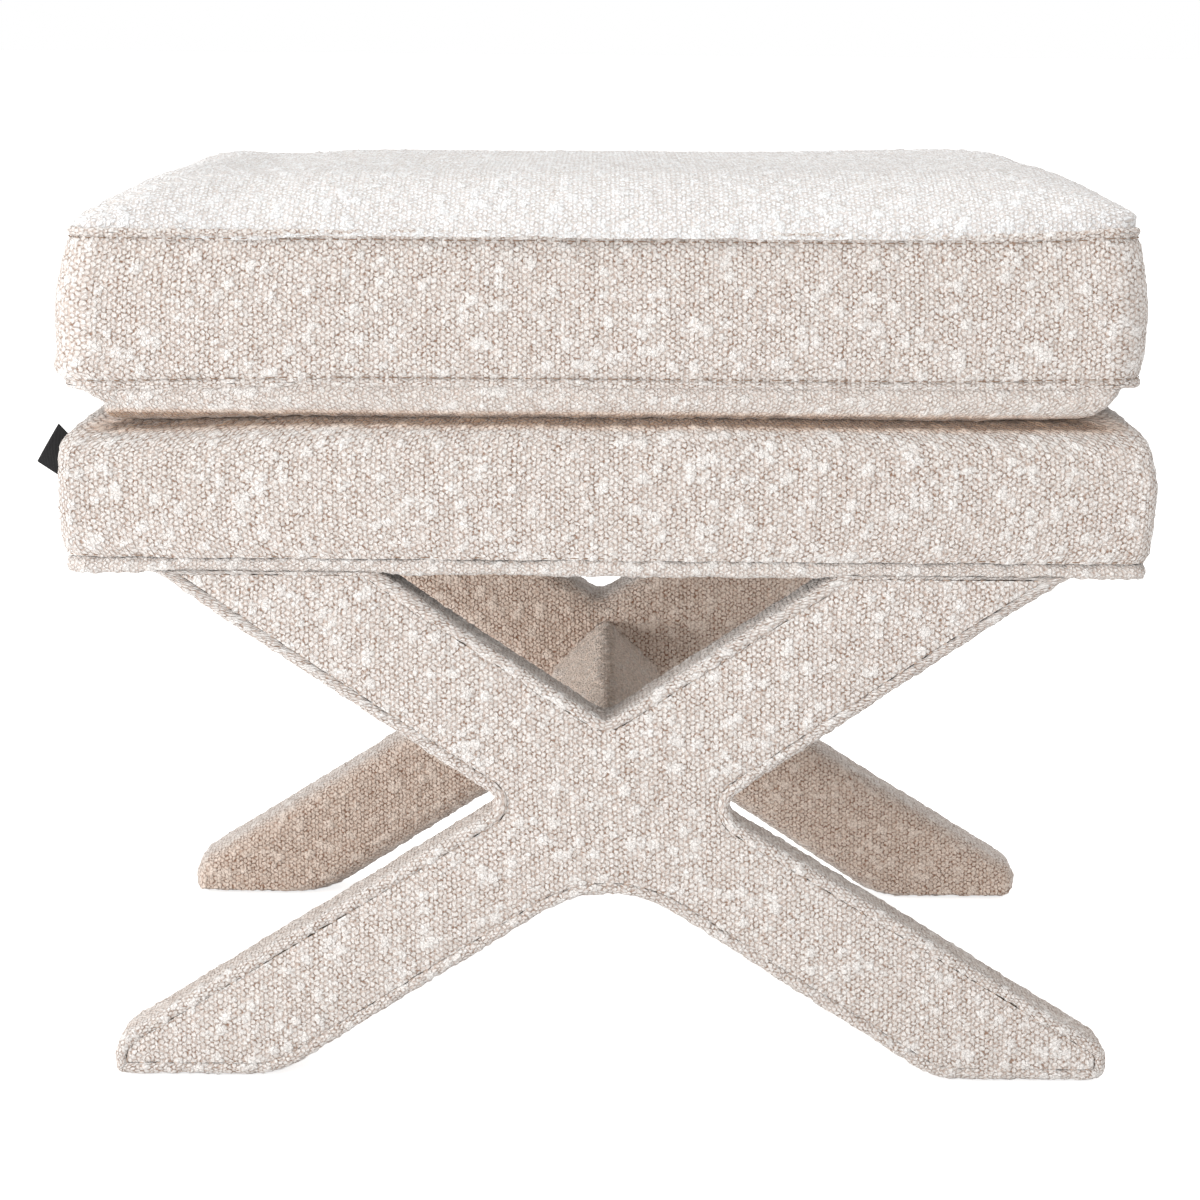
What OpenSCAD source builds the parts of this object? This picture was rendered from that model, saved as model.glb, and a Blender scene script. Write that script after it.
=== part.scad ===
/* [Seat base] */
// Width of the seat base at its hem
seat_w = 606; // [566:10:686]
// Depth of the seat base at its hem
seat_d = 450; // [420:10:510]
// Height of the seat's underside above the floor
underside_z = 295; // [282:1:312]
// Height of the seat base from its underside to the cushion
seat_h = 91; // [86:1:98]
// How far the seat's walls swell past the hem
seat_bulge = 2.5; // [1:0.5:5]
// Reach inward of the rolled shoulder
shoulder_in = 28; // [22:1:32]
// Height of the rolled shoulder
shoulder_h = 24; // [20:1:26]
// Corner radius of the seat in plan
seat_corner_r = 10; // [7:1:14]
// Diameter of the hem roll round the bottom edge
hem_d = 8; // [6:0.5:9]

/* [Cushion] */
// Width of the box cushion at its seams
cushion_w = 596; // [556:10:676]
// Depth of the box cushion at its seams
cushion_d = 446; // [416:10:506]
// Height of the bottom seam above the seat
seam_drop = 15; // [11:1:18]
// Height of the boxing between the two seams
boxing_h = 82; // [70:1:95]
// Rise of the crown above the top seam
crown_h = 32; // [20:1:40]
// Reach inward over which the crown rises
crown_in = 76; // [50:1:100]
// How far the boxing swells past the seams
boxing_bulge = 5.5; // [2:0.5:7]
// How far the front and side seams draw in between the corners
drawn_in = 3; // [0:0.5:5]
// Lift of the top seam at the corners
corner_lift = 3; // [0:0.5:6]
// Corner radius of the cushion in plan
cushion_corner_r = 16; // [9:1:20]
// Diameter of the rolled edge along both seams
welt_d = 6; // [4.5:0.5:7]
// How far the loose cushion lies to the left of the seat's centre
cushion_off = 5.5; // [0:0.5:7]

/* [X frames] */
// Overall thickness of an upholstered X frame
frame_t = 45.5; // [40:0.5:52]
// Half width between the arms at the seat
arm_in_x = 128.5; // [118:0.5:136]
// Half width outside the arms at the seat
arm_out_x = 256; // [246:1:266]
// Height of the upper notch between the arms
upper_notch_z = 210; // [206:1:214]
// Half width between the side notches
side_notch_x = 58.5; // [55:0.5:62]
// Height of the side notches
side_notch_z = 160.5; // [157:0.5:164]
// Height where the lower edges of the legs would meet
crotch_z = 124.5; // [121:0.5:127]
// Radius of the arch between the legs
arch_r = 70; // [55:5:80]
// Half width over the tips of the feet
foot_tip_x = 285; // [279:1:291]
// Half width between the inner ends of the feet
foot_in_x = 190; // [184:1:196]
// Height of the end face of each foot
foot_tip_h = 22.5; // [21:0.5:25]
// Width of the band that wraps onto the outer face
face_band = 7; // [5:0.5:9]
// Rounding of the edges at the inner face
inner_edge_r = 16; // [12:1:16]

/* [Stretcher] */
// Width across the flats of the upholstered stretcher
stretcher_w = 52; // [44:1:56]
// Height of the stretcher's centre
stretcher_z = 159; // [154:1:162]

/* [Upholstery] */
// Thickness of the looped fabric
fabric_t = 2; // [1.5:0.1:2.5]
// Thickness of the padding round the frames
pad_t = 4.5; // [3.5:0.5:5.5]
// Gap between layers
layer_gap = 0.15; // [0.1:0.05:0.25]
// Gap between the cushion and the seat
cushion_gap = 0.3; // [0.2:0.1:0.6]

/* [Woodwork] */
// Thickness of the seat rails
rail_t = 25; // [20:1:30]
// Length of the legs of the corner blocks
corner_block_leg = 60; // [45:1:75]

/* [Webbing] */
// Width of the webbing straps
strap_w = 50; // [40:1:55]
// Thickness of the webbing
strap_t = 1.4; // [1:0.1:1.8]
// Number of straps along the width
long_straps = 4; // [3:1:4]
// Number of straps across the depth
cross_straps = 5; // [4:1:6]
// Thickness of the hessian over the webbing
hessian_t = 1; // [0.6:0.1:1.4]

/* [Fasteners] */
// Radius of the frame bolts
bolt_r = 4; // [3:0.5:5]
// Reach of a frame bolt into the arm
bolt_reach = 38; // [30:1:44]
// Clearance round a bolt or screw
bolt_gap = 0.4; // [0.2:0.1:0.6]
// Radius of the lap screws
screw_r = 2.2; // [1.8:0.1:2.6]
// Radius of the foot glides
glide_r = 10; // [8:0.5:12]
// Height of the foot glides
glide_h = 1.2; // [0.8:0.1:1.6]

/* [Zip] */
// Distance from each end of the zip to the corner of the cushion
zip_margin = 48; // [38:2:78]
// Width of the coil chain
chain_w = 5.6; // [5:0.2:6.4]
// Thickness of the coil chain
chain_t = 2.4; // [2:0.1:2.8]
// Gap between the two boxing strips
zip_gap = 8.8; // [8.4:0.2:9.6]
// Length of the slider
slider_l = 12; // [10:0.5:14]

/* [Side tab] */
// Length of the woven tab
tab_l = 24; // [20:1:28]
// Width of the woven tab
tab_w = 22; // [18:1:24]
// Thickness of the folded tab
tab_t = 1.2; // [0.8:0.1:1.6]
// How far the tab stands out of the seat's side
tab_out = 9; // [7:0.5:9]
// Lean of the tab from upright
tab_lean = 29; // [20:1:35]

/* [Hidden] */

CREAM = "#d9cbbd";
FOAM = "#e6d9a8";
FIBRE = "#f2f0ea";
TIMBER = "#c79b66";
BLACK = "#222222";
STEEL = "#a9adb2";

// Facets of round holes and pins, and of holes punched in fabric and padding
round_fn = 48;
soft_fn = 12;
// Overrun of every cut
over = 1;
// Smallest radius that an inset corner keeps
r_min = 0.4;

// Heights and depths that other pieces line up with
seat_top_z = underside_z + seat_h;
frame_face_y = seat_d / 2 - layer_gap;
core_inset = fabric_t + pad_t + 2 * layer_gap;
core_t = frame_t - 2 * core_inset;
// Clearance of a pin in its hole
snug = 0.05;

// Points of one rounded corner: arc of radius r, in n steps, at p between its neighbours a and b
function unit(v) = v / norm(v);
function left_of(v) = [-v[1], v[0]];
function turn_side(a, p, b) = left_of(p - a) * (b - p) < 0 ? -1 : 1;
function corner_points(a, p, b, r, n) =
    let (u = unit(p - a), v = unit(b - p))
    let (turn = atan2(left_of(u) * v, u * v))
    let (start = p - u * r * tan(abs(turn) / 2))
    let (centre = start + left_of(u) * turn_side(a, p, b) * r)
    let (spoke = start - centre)
    [for (k = [0:n])
        let (t = turn * k / n)
        centre + spoke * cos(t) + left_of(spoke) * sin(t)];

// Vertex moved so that each neighbouring edge shifts inward by its own distance
function inset_vertex(a, p, b, d_in, d_out) =
    let (m = left_of(unit(p - a)), n = left_of(unit(b - p)))
    p + (left_of(m) * d_out - left_of(n) * d_in) / (left_of(m) * n);

// Rounded outline of a polygon whose edges move inward by their own distances
function inset_loop(pts, radii, steps, d) =
    let (n = len(pts))
    let (moved = [for (i = [0:n - 1])
        inset_vertex(pts[(i + n - 1) % n], pts[i], pts[(i + 1) % n], d[(i + n - 1) % n], d[i])])
    [for (i = [0:n - 1])
        let (a = moved[(i + n - 1) % n], p = moved[i], b = moved[(i + 1) % n])
        let (s = turn_side(pts[(i + n - 1) % n], pts[i], pts[(i + 1) % n]))
        let (r = max(radii[i] - s * max(d[(i + n - 1) % n], d[i]), r_min))
        each (steps[i] == 0 ? [p] : corner_points(a, p, b, r, steps[i]))];

// Skin through a list of equal rings; caps are lists of ring indices, each seen whole from its first
module loft(rings, caps = [], joined = false) {
    n = len(rings[0]);
    m = len(rings);
    sides = [for (j = [0:joined ? m - 1 : m - 2], i = [0:n - 1])
        let (a = j * n + i, b = j * n + (i + 1) % n)
        let (c = ((j + 1) % m) * n + (i + 1) % n, d = ((j + 1) % m) * n + i)
        each [[a, c, b], [a, d, c]]];
    finish = [for (f = caps) [for (k = [0:len(f) - 1]) (m - 1) * n + f[(len(f) - k) % len(f)]]];
    points = [for (r = rings) each r];
    polyhedron(points = points, faces = joined ? sides : concat(sides, caps, finish), convexity = 8);
}

// X outline seen from the front, counter-clockwise from the upper notch, left half first
notch_r = 10;
side_notch_r = 6;
tip_r = 16;
sole_r = 4;
heel_r = 10;
foot_top_z = glide_h + foot_tip_h;
x_points = [
    [0, upper_notch_z],
    [-arm_in_x, underside_z], [-arm_out_x, underside_z], [-side_notch_x, side_notch_z],
    [-foot_tip_x, foot_top_z], [-foot_tip_x, glide_h], [-foot_in_x, glide_h],
    [0, crotch_z],
    [foot_in_x, glide_h], [foot_tip_x, glide_h], [foot_tip_x, foot_top_z],
    [side_notch_x, side_notch_z], [arm_out_x, underside_z], [arm_in_x, underside_z]];
x_radii = [notch_r, 0, 0, side_notch_r, tip_r, sole_r, heel_r,
    arch_r, heel_r, sole_r, tip_r, side_notch_r, 0, 0];
x_steps = [2, 0, 0, 3, 3, 2, 2, 6, 2, 2, 3, 3, 0, 0];
// Share of the inner edge's rounding that each edge of the outline takes
round_shares = [1, 0, 1, 0.8, 0.5, 0.2, 1, 1, 0.2, 0.5, 0.8, 1, 0, 1];
arm_tops = [1, 12];

// Outline inset by base, with arm tops at their own inset, and by its share of the rounding
function x_loop(base, top, rounding = 0) =
    inset_loop(x_points, x_radii, x_steps,
        [for (e = [0:len(x_points) - 1])
            (search(e, arm_tops) == [] ? base : top) + round_shares[e] * rounding]);
function x_ring(base, top, rounding, depth) =
    [for (p = x_loop(base, top, rounding)) [p[0], depth - frame_face_y, p[1]]];

// Pieces of the outline that fill it: arm, leg, both halves of the side notch, half of the arch
function first_index(i) = i == 0 ? 0 : first_index(i - 1) + x_steps[i - 1] + 1;
function span(a, b) = [for (k = [a:b]) k];
notch_mid = x_steps[0] / 2;
notch_end = x_steps[0];
side_start = first_index(3);
side_mid = side_start + 1;
side_end = first_index(4) - 1;
arch_start = first_index(7);
arch_mid = arch_start + x_steps[7] / 2;
half_caps = [
    span(notch_end, side_start),
    span(side_end, arch_start),
    concat([arch_mid, notch_mid], span(side_mid, side_end)),
    concat([notch_mid, notch_end], span(side_start, side_mid)),
    concat([side_end], span(arch_start, arch_mid))];
function mirrored(i) = i <= notch_end ? notch_end - i : 2 * arch_mid - i;
x_caps = concat(half_caps,
    [for (f = half_caps) [for (k = [0:len(f) - 1]) mirrored(f[(len(f) - k) % len(f)])]]);

// Rounded back edge of a tray, from its back cap to its side wall
edge_steps = 3;
function back_edge(base, top, r, depth) =
    [for (k = [0:edge_steps])
        let (t = 90 * k / edge_steps)
        x_ring(base, top, r * (1 - sin(t)), depth - r * (1 - cos(t)))];

// Flat sheet or board with a given outline, between two depths behind the outer face
module slab(loop, depth, t) {
    translate([0, depth + t - frame_face_y, 0])
        rotate([90, 0, 0])
            linear_extrude(t)
                polygon(loop);
}

// Places along the width that both frames share
bolt_in = 18;
bolt_pitch = 26;
bolt_xs = [arm_in_x + bolt_in, arm_in_x + bolt_in + bolt_pitch];
bolt_y = frame_face_y - core_inset - core_t / 2;
// Depth of the arm under its outer bolt, and how far bolts and inserts go into it
arm_depth = (underside_z - side_notch_z) * (arm_out_x - bolt_xs[1]) / (arm_out_x - side_notch_x);
arm_reach_share = 0.66;
arm_insert_share = 0.5;
arm_reach = arm_depth * arm_reach_share;
arm_insert_l = arm_depth * arm_insert_share;
glide_in = 22;
glide_out = 25;
glide_xs = [foot_in_x + glide_in, foot_tip_x - glide_out];
nail_r = 1.25;
nail_l = 20;
bolt_head_r = 7;
bolt_head_h = 4.5;
washer_r = 10;
washer_t = 1.6;
insert_r = 6;
insert_l = 30;
screw_skin = 4;
screw_l = core_t - screw_skin;
screw_head_r = 2 * screw_r;
screw_spread = 30;
screw_drop = 27;
screw_places = [[-screw_spread, side_notch_z], [screw_spread, side_notch_z],
    [0, stretcher_z + screw_drop], [0, stretcher_z - screw_drop / 2]];

module both_sides() {
    children();
    mirror([1, 0, 0]) children();
}
module bolt_holes(r, facets = round_fn) {
    both_sides()
        for (x = bolt_xs)
            translate([x, -bolt_y, underside_z - core_inset - arm_reach])
                cylinder(r = r, h = core_inset + arm_reach + over, $fn = facets);
}
module nail_holes(facets = round_fn) {
    both_sides()
        for (x = glide_xs)
            translate([x, -bolt_y, glide_h - over])
                cylinder(r = nail_r + snug, h = nail_l + over, $fn = facets);
}
module tie_hole(r, facets = round_fn) {
    translate([0, -frame_face_y + frame_t + over, stretcher_z])
        rotate([90, 0, 0])
            cylinder(r = r, h = frame_t + over, $fn = facets);
}
// Holes that the fabric and the padding share
module punched_holes() {
    bolt_holes(bolt_r + bolt_gap, soft_fn);
    nail_holes(soft_fn);
    tie_hole(bolt_r + bolt_gap, soft_fn);
}

// Fabric tray over the sides and inner face, with the narrow band that turns onto the outer face
front_edge_r = 4;
band_top = 0.5;
end_fold = fabric_t + layer_gap;
cover_inner_r = inner_edge_r - fabric_t;
cover_rings = concat(
    back_edge(0, 0, inner_edge_r, frame_t),
    [x_ring(0, 0, 0, front_edge_r),
        x_ring(front_edge_r * (1 - cos(45)), 0, 0, front_edge_r * (1 - sin(45))),
        x_ring(front_edge_r, 0, 0, 0),
        x_ring(face_band, band_top, 0, 0),
        x_ring(face_band, fabric_t - band_top, 0, fabric_t),
        x_ring(front_edge_r, fabric_t, 0, fabric_t),
        x_ring(fabric_t, fabric_t, 0, front_edge_r)],
    [for (k = [edge_steps:-1:0])
        back_edge(fabric_t, fabric_t, cover_inner_r, frame_t - fabric_t)[k]]);

// Strips of ring indices that close the tray's wall where its halves meet
cover_last = len(cover_rings) - 1;
lip = edge_steps + 1;
cover_strips = concat(
    [for (k = [0:edge_steps]) [k, k + 1, cover_last - 1 - k, cover_last - k]],
    [[lip, lip + 1, lip + 2, lip + 5, lip + 6], [lip + 2, lip + 3, lip + 4, lip + 5]]);
// Left half of the tray, from the middle of the notch to the middle of the arch
module x_half_cover() {
    n = arch_mid - notch_mid + 1;
    end = cover_last * n;
    points = [for (r = cover_rings, i = span(notch_mid, arch_mid)) r[i]];
    sides = [for (j = [0:cover_last - 1], i = [0:n - 2])
        let (a = j * n + i, b = a + 1, c = b + n, d = a + n)
        each [[a, c, b], [a, d, c]]];
    start = [for (f = half_caps) [for (i = f) i - notch_mid]];
    finish = [for (f = start) [for (k = [0:len(f) - 1]) end + f[(len(f) - k) % len(f)]]];
    arch_cut = [for (s = cover_strips) [for (j = s) j * n + n - 1]];
    notch_cut = [for (s = cover_strips) [for (k = [len(s) - 1:-1:0]) s[k] * n]];
    back_cut = [[n - 1, end + n - 1, end, 0]];
    difference() {
        translate([-layer_gap / 2, 0, 0])
            polyhedron(points = points,
                faces = concat(sides, start, finish, arch_cut, notch_cut, back_cut), convexity = 8);
        punched_holes();
    }
}

// Padding tray between the cover and the beams, square inside
arm_pad_t = 1.2;
module x_padding() {
    out = fabric_t + layer_gap;
    inside = core_inset - layer_gap;
    top = end_fold + arm_pad_t;
    rings = concat(
        back_edge(out, end_fold, inner_edge_r - out, frame_t - out),
        [x_ring(out, end_fold, 0, core_inset),
            x_ring(inside, top, 0, core_inset),
            x_ring(inside, top, 0, frame_t - inside)]);
    difference() {
        loft(rings, x_caps);
        punched_holes();
    }
}

panel_seam = 0.6;
module x_face_panel() {
    slab(x_loop(face_band + panel_seam, end_fold), 0, fabric_t);
}
module x_face_pad() {
    slab(x_loop(front_edge_r, end_fold), fabric_t + layer_gap, pad_t);
}

// One beam of the crossing, from the left arm to the right foot
core_top = end_fold + arm_pad_t + layer_gap;
beam_points = [
    x_points[0], x_points[1], x_points[2], x_points[3], x_points[7],
    x_points[8], x_points[9], x_points[10], x_points[11]];
beam_steps = [0, 0, 0, 0, 0, 0, 2, 2, 0];
beam_insets = [core_inset, core_top, core_inset, core_inset, core_inset,
    core_inset, core_inset, core_inset, core_inset];
beam_radii = [0, 0, 0, 0, 0, 0, core_inset + sole_r, tip_r, 0];
beam_outline = inset_loop(beam_points, beam_radii, beam_steps, beam_insets);

module screw(gap) {
    rotate([-90, 0, 0]) {
        cylinder(r = screw_r + gap, h = screw_l, $fn = round_fn);
        translate([0, 0, -over])
            cylinder(r = screw_head_r + gap, h = over, $fn = round_fn);
        cylinder(r1 = screw_head_r + gap, r2 = screw_r + gap, h = screw_head_r, $fn = round_fn);
    }
}
module beam_drillings() {
    bolt_holes(insert_r + snug);
    nail_holes();
    tie_hole(bolt_r + bolt_gap);
    translate([0, core_inset + bolt_head_h + washer_t + over - frame_face_y, stretcher_z])
        rotate([90, 0, 0])
            cylinder(r = washer_r + over, h = bolt_head_h + washer_t + 2 * over, $fn = round_fn);
    for (p = screw_places)
        translate([p[0], core_inset - frame_face_y, p[1]])
            screw(snug);
}
// Boards of the lap: the left one keeps its back half at the crossing, the right one its front half
module x_beam_left() {
    difference() {
        slab(beam_outline, core_inset, core_t);
        mirror([1, 0, 0]) slab(beam_outline, core_inset - over, core_t / 2 + over);
        beam_drillings();
    }
}
module x_beam_right() {
    difference() {
        mirror([1, 0, 0]) slab(beam_outline, core_inset, core_t);
        slab(beam_outline, core_inset + core_t / 2, core_t / 2 + over);
        beam_drillings();
    }
}
module x_arch_block() {
    loop = x_loop(core_inset, core_top);
    below = core_inset - layer_gap;
    corner = inset_vertex(x_points[6], x_points[7], x_points[8], below, below);
    slab(concat([for (i = span(arch_start, 2 * arch_mid - arch_start)) loop[i]], [corner]),
        core_inset, core_t);
}

module front_x_cover_left() { color(CREAM) x_half_cover(); }
module front_x_cover_right() { color(CREAM) mirror([1, 0, 0]) x_half_cover(); }
module front_x_face_panel() { color(CREAM) x_face_panel(); }
module front_x_padding() { color(FIBRE) x_padding(); }
module front_x_face_pad() { color(FIBRE) x_face_pad(); }
module front_x_beam_left() { color(TIMBER) x_beam_left(); }
module front_x_beam_right() { color(TIMBER) x_beam_right(); }
module front_x_arch_block() { color(TIMBER) x_arch_block(); }
module at_rear() { mirror([0, 1, 0]) children(); }
module rear_x_cover_left() { color(CREAM) at_rear() x_half_cover(); }
module rear_x_cover_right() { color(CREAM) at_rear() mirror([1, 0, 0]) x_half_cover(); }
module rear_x_face_panel() { color(CREAM) at_rear() x_face_panel(); }
module rear_x_padding() { color(FIBRE) at_rear() x_padding(); }
module rear_x_face_pad() { color(FIBRE) at_rear() x_face_pad(); }
module rear_x_beam_left() { color(TIMBER) at_rear() x_beam_left(); }
module rear_x_beam_right() { color(TIMBER) at_rear() x_beam_right(); }
module rear_x_arch_block() { color(TIMBER) at_rear() x_arch_block(); }

module both_frames() {
    children();
    at_rear() children();
}
module lap_screws() {
    color(STEEL)
        both_frames()
            for (p = screw_places)
                translate([p[0], core_inset - frame_face_y, p[1]])
                    intersection() {
                        screw(0);
                        translate([-screw_l, 0, -screw_l]) cube(2 * screw_l);
                    }
}
module foot_glides() {
    chamfer = glide_h / 2;
    color(BLACK)
        both_frames()
            both_sides()
                for (x = glide_xs)
                    translate([x, -bolt_y, 0]) {
                        cylinder(r1 = glide_r - chamfer, r2 = glide_r, h = chamfer, $fn = round_fn);
                        translate([0, 0, chamfer])
                            cylinder(r = glide_r, h = glide_h - chamfer, $fn = round_fn);
                        translate([0, 0, chamfer])
                            cylinder(r = nail_r, h = nail_l, $fn = round_fn);
                    }
}

// Stretcher on edge between the inner faces of the frames
stretcher_l = 2 * (frame_face_y - frame_t - layer_gap);
stretcher_r = 6;
half_diagonal = stretcher_w / sqrt(2);
stretcher_points = [[0, -half_diagonal], [half_diagonal, 0], [0, half_diagonal], [-half_diagonal, 0]];
function stretcher_loop(d) =
    [for (p = inset_loop(stretcher_points, [for (i = [0:3]) stretcher_r], [3, 3, 3, 3], [d, d, d, d]))
        p + [0, stretcher_z]];
module along_depth(l) {
    translate([0, l / 2, 0])
        rotate([90, 0, 0])
            linear_extrude(l)
                children();
}
module square_sleeve(outside, inside) {
    along_depth(stretcher_l)
        difference() {
            polygon(stretcher_loop(outside));
            polygon(stretcher_loop(inside));
        }
}
module stretcher_cover() {
    color(CREAM) square_sleeve(0, fabric_t);
}
module stretcher_padding() {
    color(FIBRE) square_sleeve(fabric_t + layer_gap, core_inset - layer_gap);
}
module stretcher_core() {
    color(TIMBER)
        difference() {
            along_depth(stretcher_l) polygon(stretcher_loop(core_inset));
            both_frames()
                translate([0, insert_l + bolt_gap - stretcher_l / 2, stretcher_z])
                    rotate([90, 0, 0])
                        cylinder(r = insert_r + snug, h = insert_l + bolt_gap + over, $fn = round_fn);
            both_frames()
                translate([0, tie_end_y + over, stretcher_z])
                    rotate([90, 0, 0])
                        cylinder(r = bolt_r + bolt_gap, h = stretcher_l / 2, $fn = round_fn);
        }
}

// Bolts that tie the frames to the stretcher, seen from the head inward
tie_head_y = core_inset + layer_gap - frame_face_y;
tie_end_y = bolt_reach - stretcher_l / 2;
module bolt(l) {
    rotate([-90, 0, 0]) {
        cylinder(r = bolt_head_r, h = bolt_head_h, $fn = 6);
        cylinder(r = bolt_r, h = l, $fn = round_fn);
    }
}
module washer() {
    rotate([-90, 0, 0])
        difference() {
            cylinder(r = washer_r, h = washer_t, $fn = round_fn);
            translate([0, 0, -over])
                cylinder(r = bolt_r + bolt_gap, h = washer_t + 2 * over, $fn = round_fn);
        }
}
module insert(l) {
    rotate([-90, 0, 0])
        difference() {
            cylinder(r = insert_r, h = l, $fn = round_fn);
            translate([0, 0, -over])
                cylinder(r = bolt_r + snug, h = l + 2 * over, $fn = round_fn);
        }
}
module stretcher_bolts() {
    color(STEEL)
        both_frames()
            translate([0, tie_head_y, stretcher_z])
                bolt(tie_end_y - tie_head_y);
}
module stretcher_washers() {
    color(STEEL)
        both_frames()
            translate([0, tie_head_y + bolt_head_h, stretcher_z])
                washer();
}
module stretcher_inserts() {
    color(STEEL)
        both_frames()
            translate([0, -stretcher_l / 2, stretcher_z])
                insert(insert_l);
}

// Seat frame: rails under the webbing, inside the side padding
dust_t = 0.8;
side_pad = 9;
foam_t = 25;
foam_z = seat_top_z - fabric_t - layer_gap - foam_t;
hessian_z = foam_z - layer_gap - hessian_t;
web_z = hessian_z - 2 * (layer_gap + strap_t);
rail_z = underside_z + dust_t;
rail_top_z = web_z - layer_gap;
rail_x = seat_w / 2 - side_pad;
rail_y = seat_d / 2 - side_pad;
recess = washer_t + bolt_head_h + layer_gap;
frame_bolt_top = rail_top_z - layer_gap;

module standing(r, z1, z2) {
    both_sides()
        for (x = bolt_xs)
            translate([x, -bolt_y, z1])
                cylinder(r = r, h = z2 - z1, $fn = round_fn);
}
module long_rail() {
    difference() {
        translate([-rail_x, -rail_y, rail_z])
            cube([2 * rail_x, rail_t, rail_top_z - rail_z]);
        standing(bolt_r + bolt_gap, rail_z - over, rail_top_z);
        standing(washer_r + bolt_gap, rail_top_z - recess, rail_top_z + over);
    }
}
module end_rail() {
    inner_y = rail_y - rail_t - layer_gap;
    translate([-rail_x, -inner_y, rail_z])
        cube([rail_t, 2 * inner_y, rail_top_z - rail_z]);
}
module seat_rail_front() { color(TIMBER) long_rail(); }
module seat_rail_rear() { color(TIMBER) at_rear() long_rail(); }
module seat_rail_left() { color(TIMBER) end_rail(); }
module seat_rail_right() { color(TIMBER) mirror([1, 0, 0]) end_rail(); }
module corner_blocks() {
    tip = corner_block_leg / 6;
    block_h = (rail_top_z - rail_z) * 2 / 3;
    color(TIMBER)
        both_frames()
            both_sides()
                translate([-rail_x + rail_t + layer_gap, -rail_y + rail_t + layer_gap, rail_z])
                    linear_extrude(block_h)
                        polygon([[0, 0], [corner_block_leg, 0], [corner_block_leg, tip],
                            [tip, corner_block_leg], [0, corner_block_leg]]);
}
module at_frame_bolts(z) {
    both_frames()
        both_sides()
            for (x = bolt_xs)
                translate([x, -bolt_y, z])
                    rotate([-90, 0, 0])
                        children();
}
arm_core_z = underside_z - core_top;
module frame_bolts() {
    color(STEEL)
        at_frame_bolts(frame_bolt_top)
            bolt(frame_bolt_top - arm_core_z + arm_reach);
}
module frame_washers() {
    color(STEEL)
        at_frame_bolts(frame_bolt_top - bolt_head_h)
            washer();
}
module arm_inserts() {
    color(STEEL)
        at_frame_bolts(arm_core_z)
            insert(arm_insert_l);
}
module dust_cover() {
    color(BLACK)
        difference() {
            translate([-rail_x, -rail_y, underside_z])
                cube([2 * rail_x, 2 * rail_y, dust_t]);
            both_frames() standing(bolt_r + bolt_gap, underside_z - over, rail_z + over);
        }
}

// Interlaced webbing: each strap goes over one crossing strap and under the next
strap_flat = strap_w / 2 + strap_t;
function strap_mid(k) = web_z + strap_t + layer_gap / 2 + (k % 2 == 0 ? 1 : -1) * (strap_t + layer_gap) / 2;
function strap_path(places, reach, phase) =
    let (end_z = web_z + strap_t / 2)
    concat([[-reach, end_z], [-reach + rail_t, end_z]],
        [for (j = [0:len(places) - 1])
            each [[places[j] - strap_flat, strap_mid(j + phase)], [places[j] + strap_flat, strap_mid(j + phase)]]],
        [[reach - rail_t, end_z], [reach, end_z]]);
function spaced(n, width) = [for (i = [0:n - 1]) (i - (n - 1) / 2) * width / n];
long_ys = spaced(long_straps, 2 * rail_y - rail_t);
cross_xs = spaced(cross_straps, 2 * rail_x - rail_t);
module strap(path) {
    n = len(path);
    translate([0, strap_w / 2, 0])
        rotate([90, 0, 0])
            linear_extrude(strap_w)
                polygon(concat(
                    [for (p = path) p - [0, strap_t / 2]],
                    [for (k = [n - 1:-1:0]) path[k] + [0, strap_t / 2]]));
}
module webbing_long() {
    color("#b59a6a")
        for (i = [0:long_straps - 1])
            translate([0, long_ys[i], 0])
                strap(strap_path(cross_xs, rail_x, i));
}
module webbing_cross() {
    color("#a88c5c")
        for (j = [0:cross_straps - 1])
            translate([cross_xs[j], 0, 0])
                rotate([0, 0, 90])
                    strap(strap_path(long_ys, rail_y, j + 1));
}
module hessian_sheet() {
    color("#c2a878")
        translate([-rail_x, -rail_y, hessian_z])
            cube([2 * rail_x, 2 * rail_y, hessian_t]);
}

// Ring of a rounded rectangle; its sides draw in by their bows and its corners rise by lift
arc_n = 3;
side_n = 4;
ring_n = 4 * (arc_n + 1 + side_n);
ring_cap = [concat(span(1, ring_n - 1), [0])];
function ring(hw, hd, r, z, bows = [0, 0, 0, 0], lift = 0) =
    let (centres = [[hw - r, hd - r], [r - hw, hd - r], [r - hw, r - hd], [hw - r, r - hd]])
    [for (q = [0:3])
        let (c = centres[q], next = centres[(q + 1) % 4])
        let (out = [cos(90 * q + 90), sin(90 * q + 90)])
        each concat(
            [for (k = [0:arc_n])
                let (t = 90 * (q + k / arc_n))
                [c[0] + r * cos(t), c[1] + r * sin(t), z + lift]],
            [for (k = [1:side_n])
                let (t = k / (side_n + 1), s = 2 * t - 1)
                let (p = c + (next - c) * t + out * (r - bows[q] * (1 - s * s)))
                [p[0], p[1], z + lift * pow(s, 4)]])];

// Seat walls and shoulder: rings at a depth d under the fabric's face
wall_z = underside_z + hem_d + layer_gap;
wall_h = seat_top_z - shoulder_h - wall_z;
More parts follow.
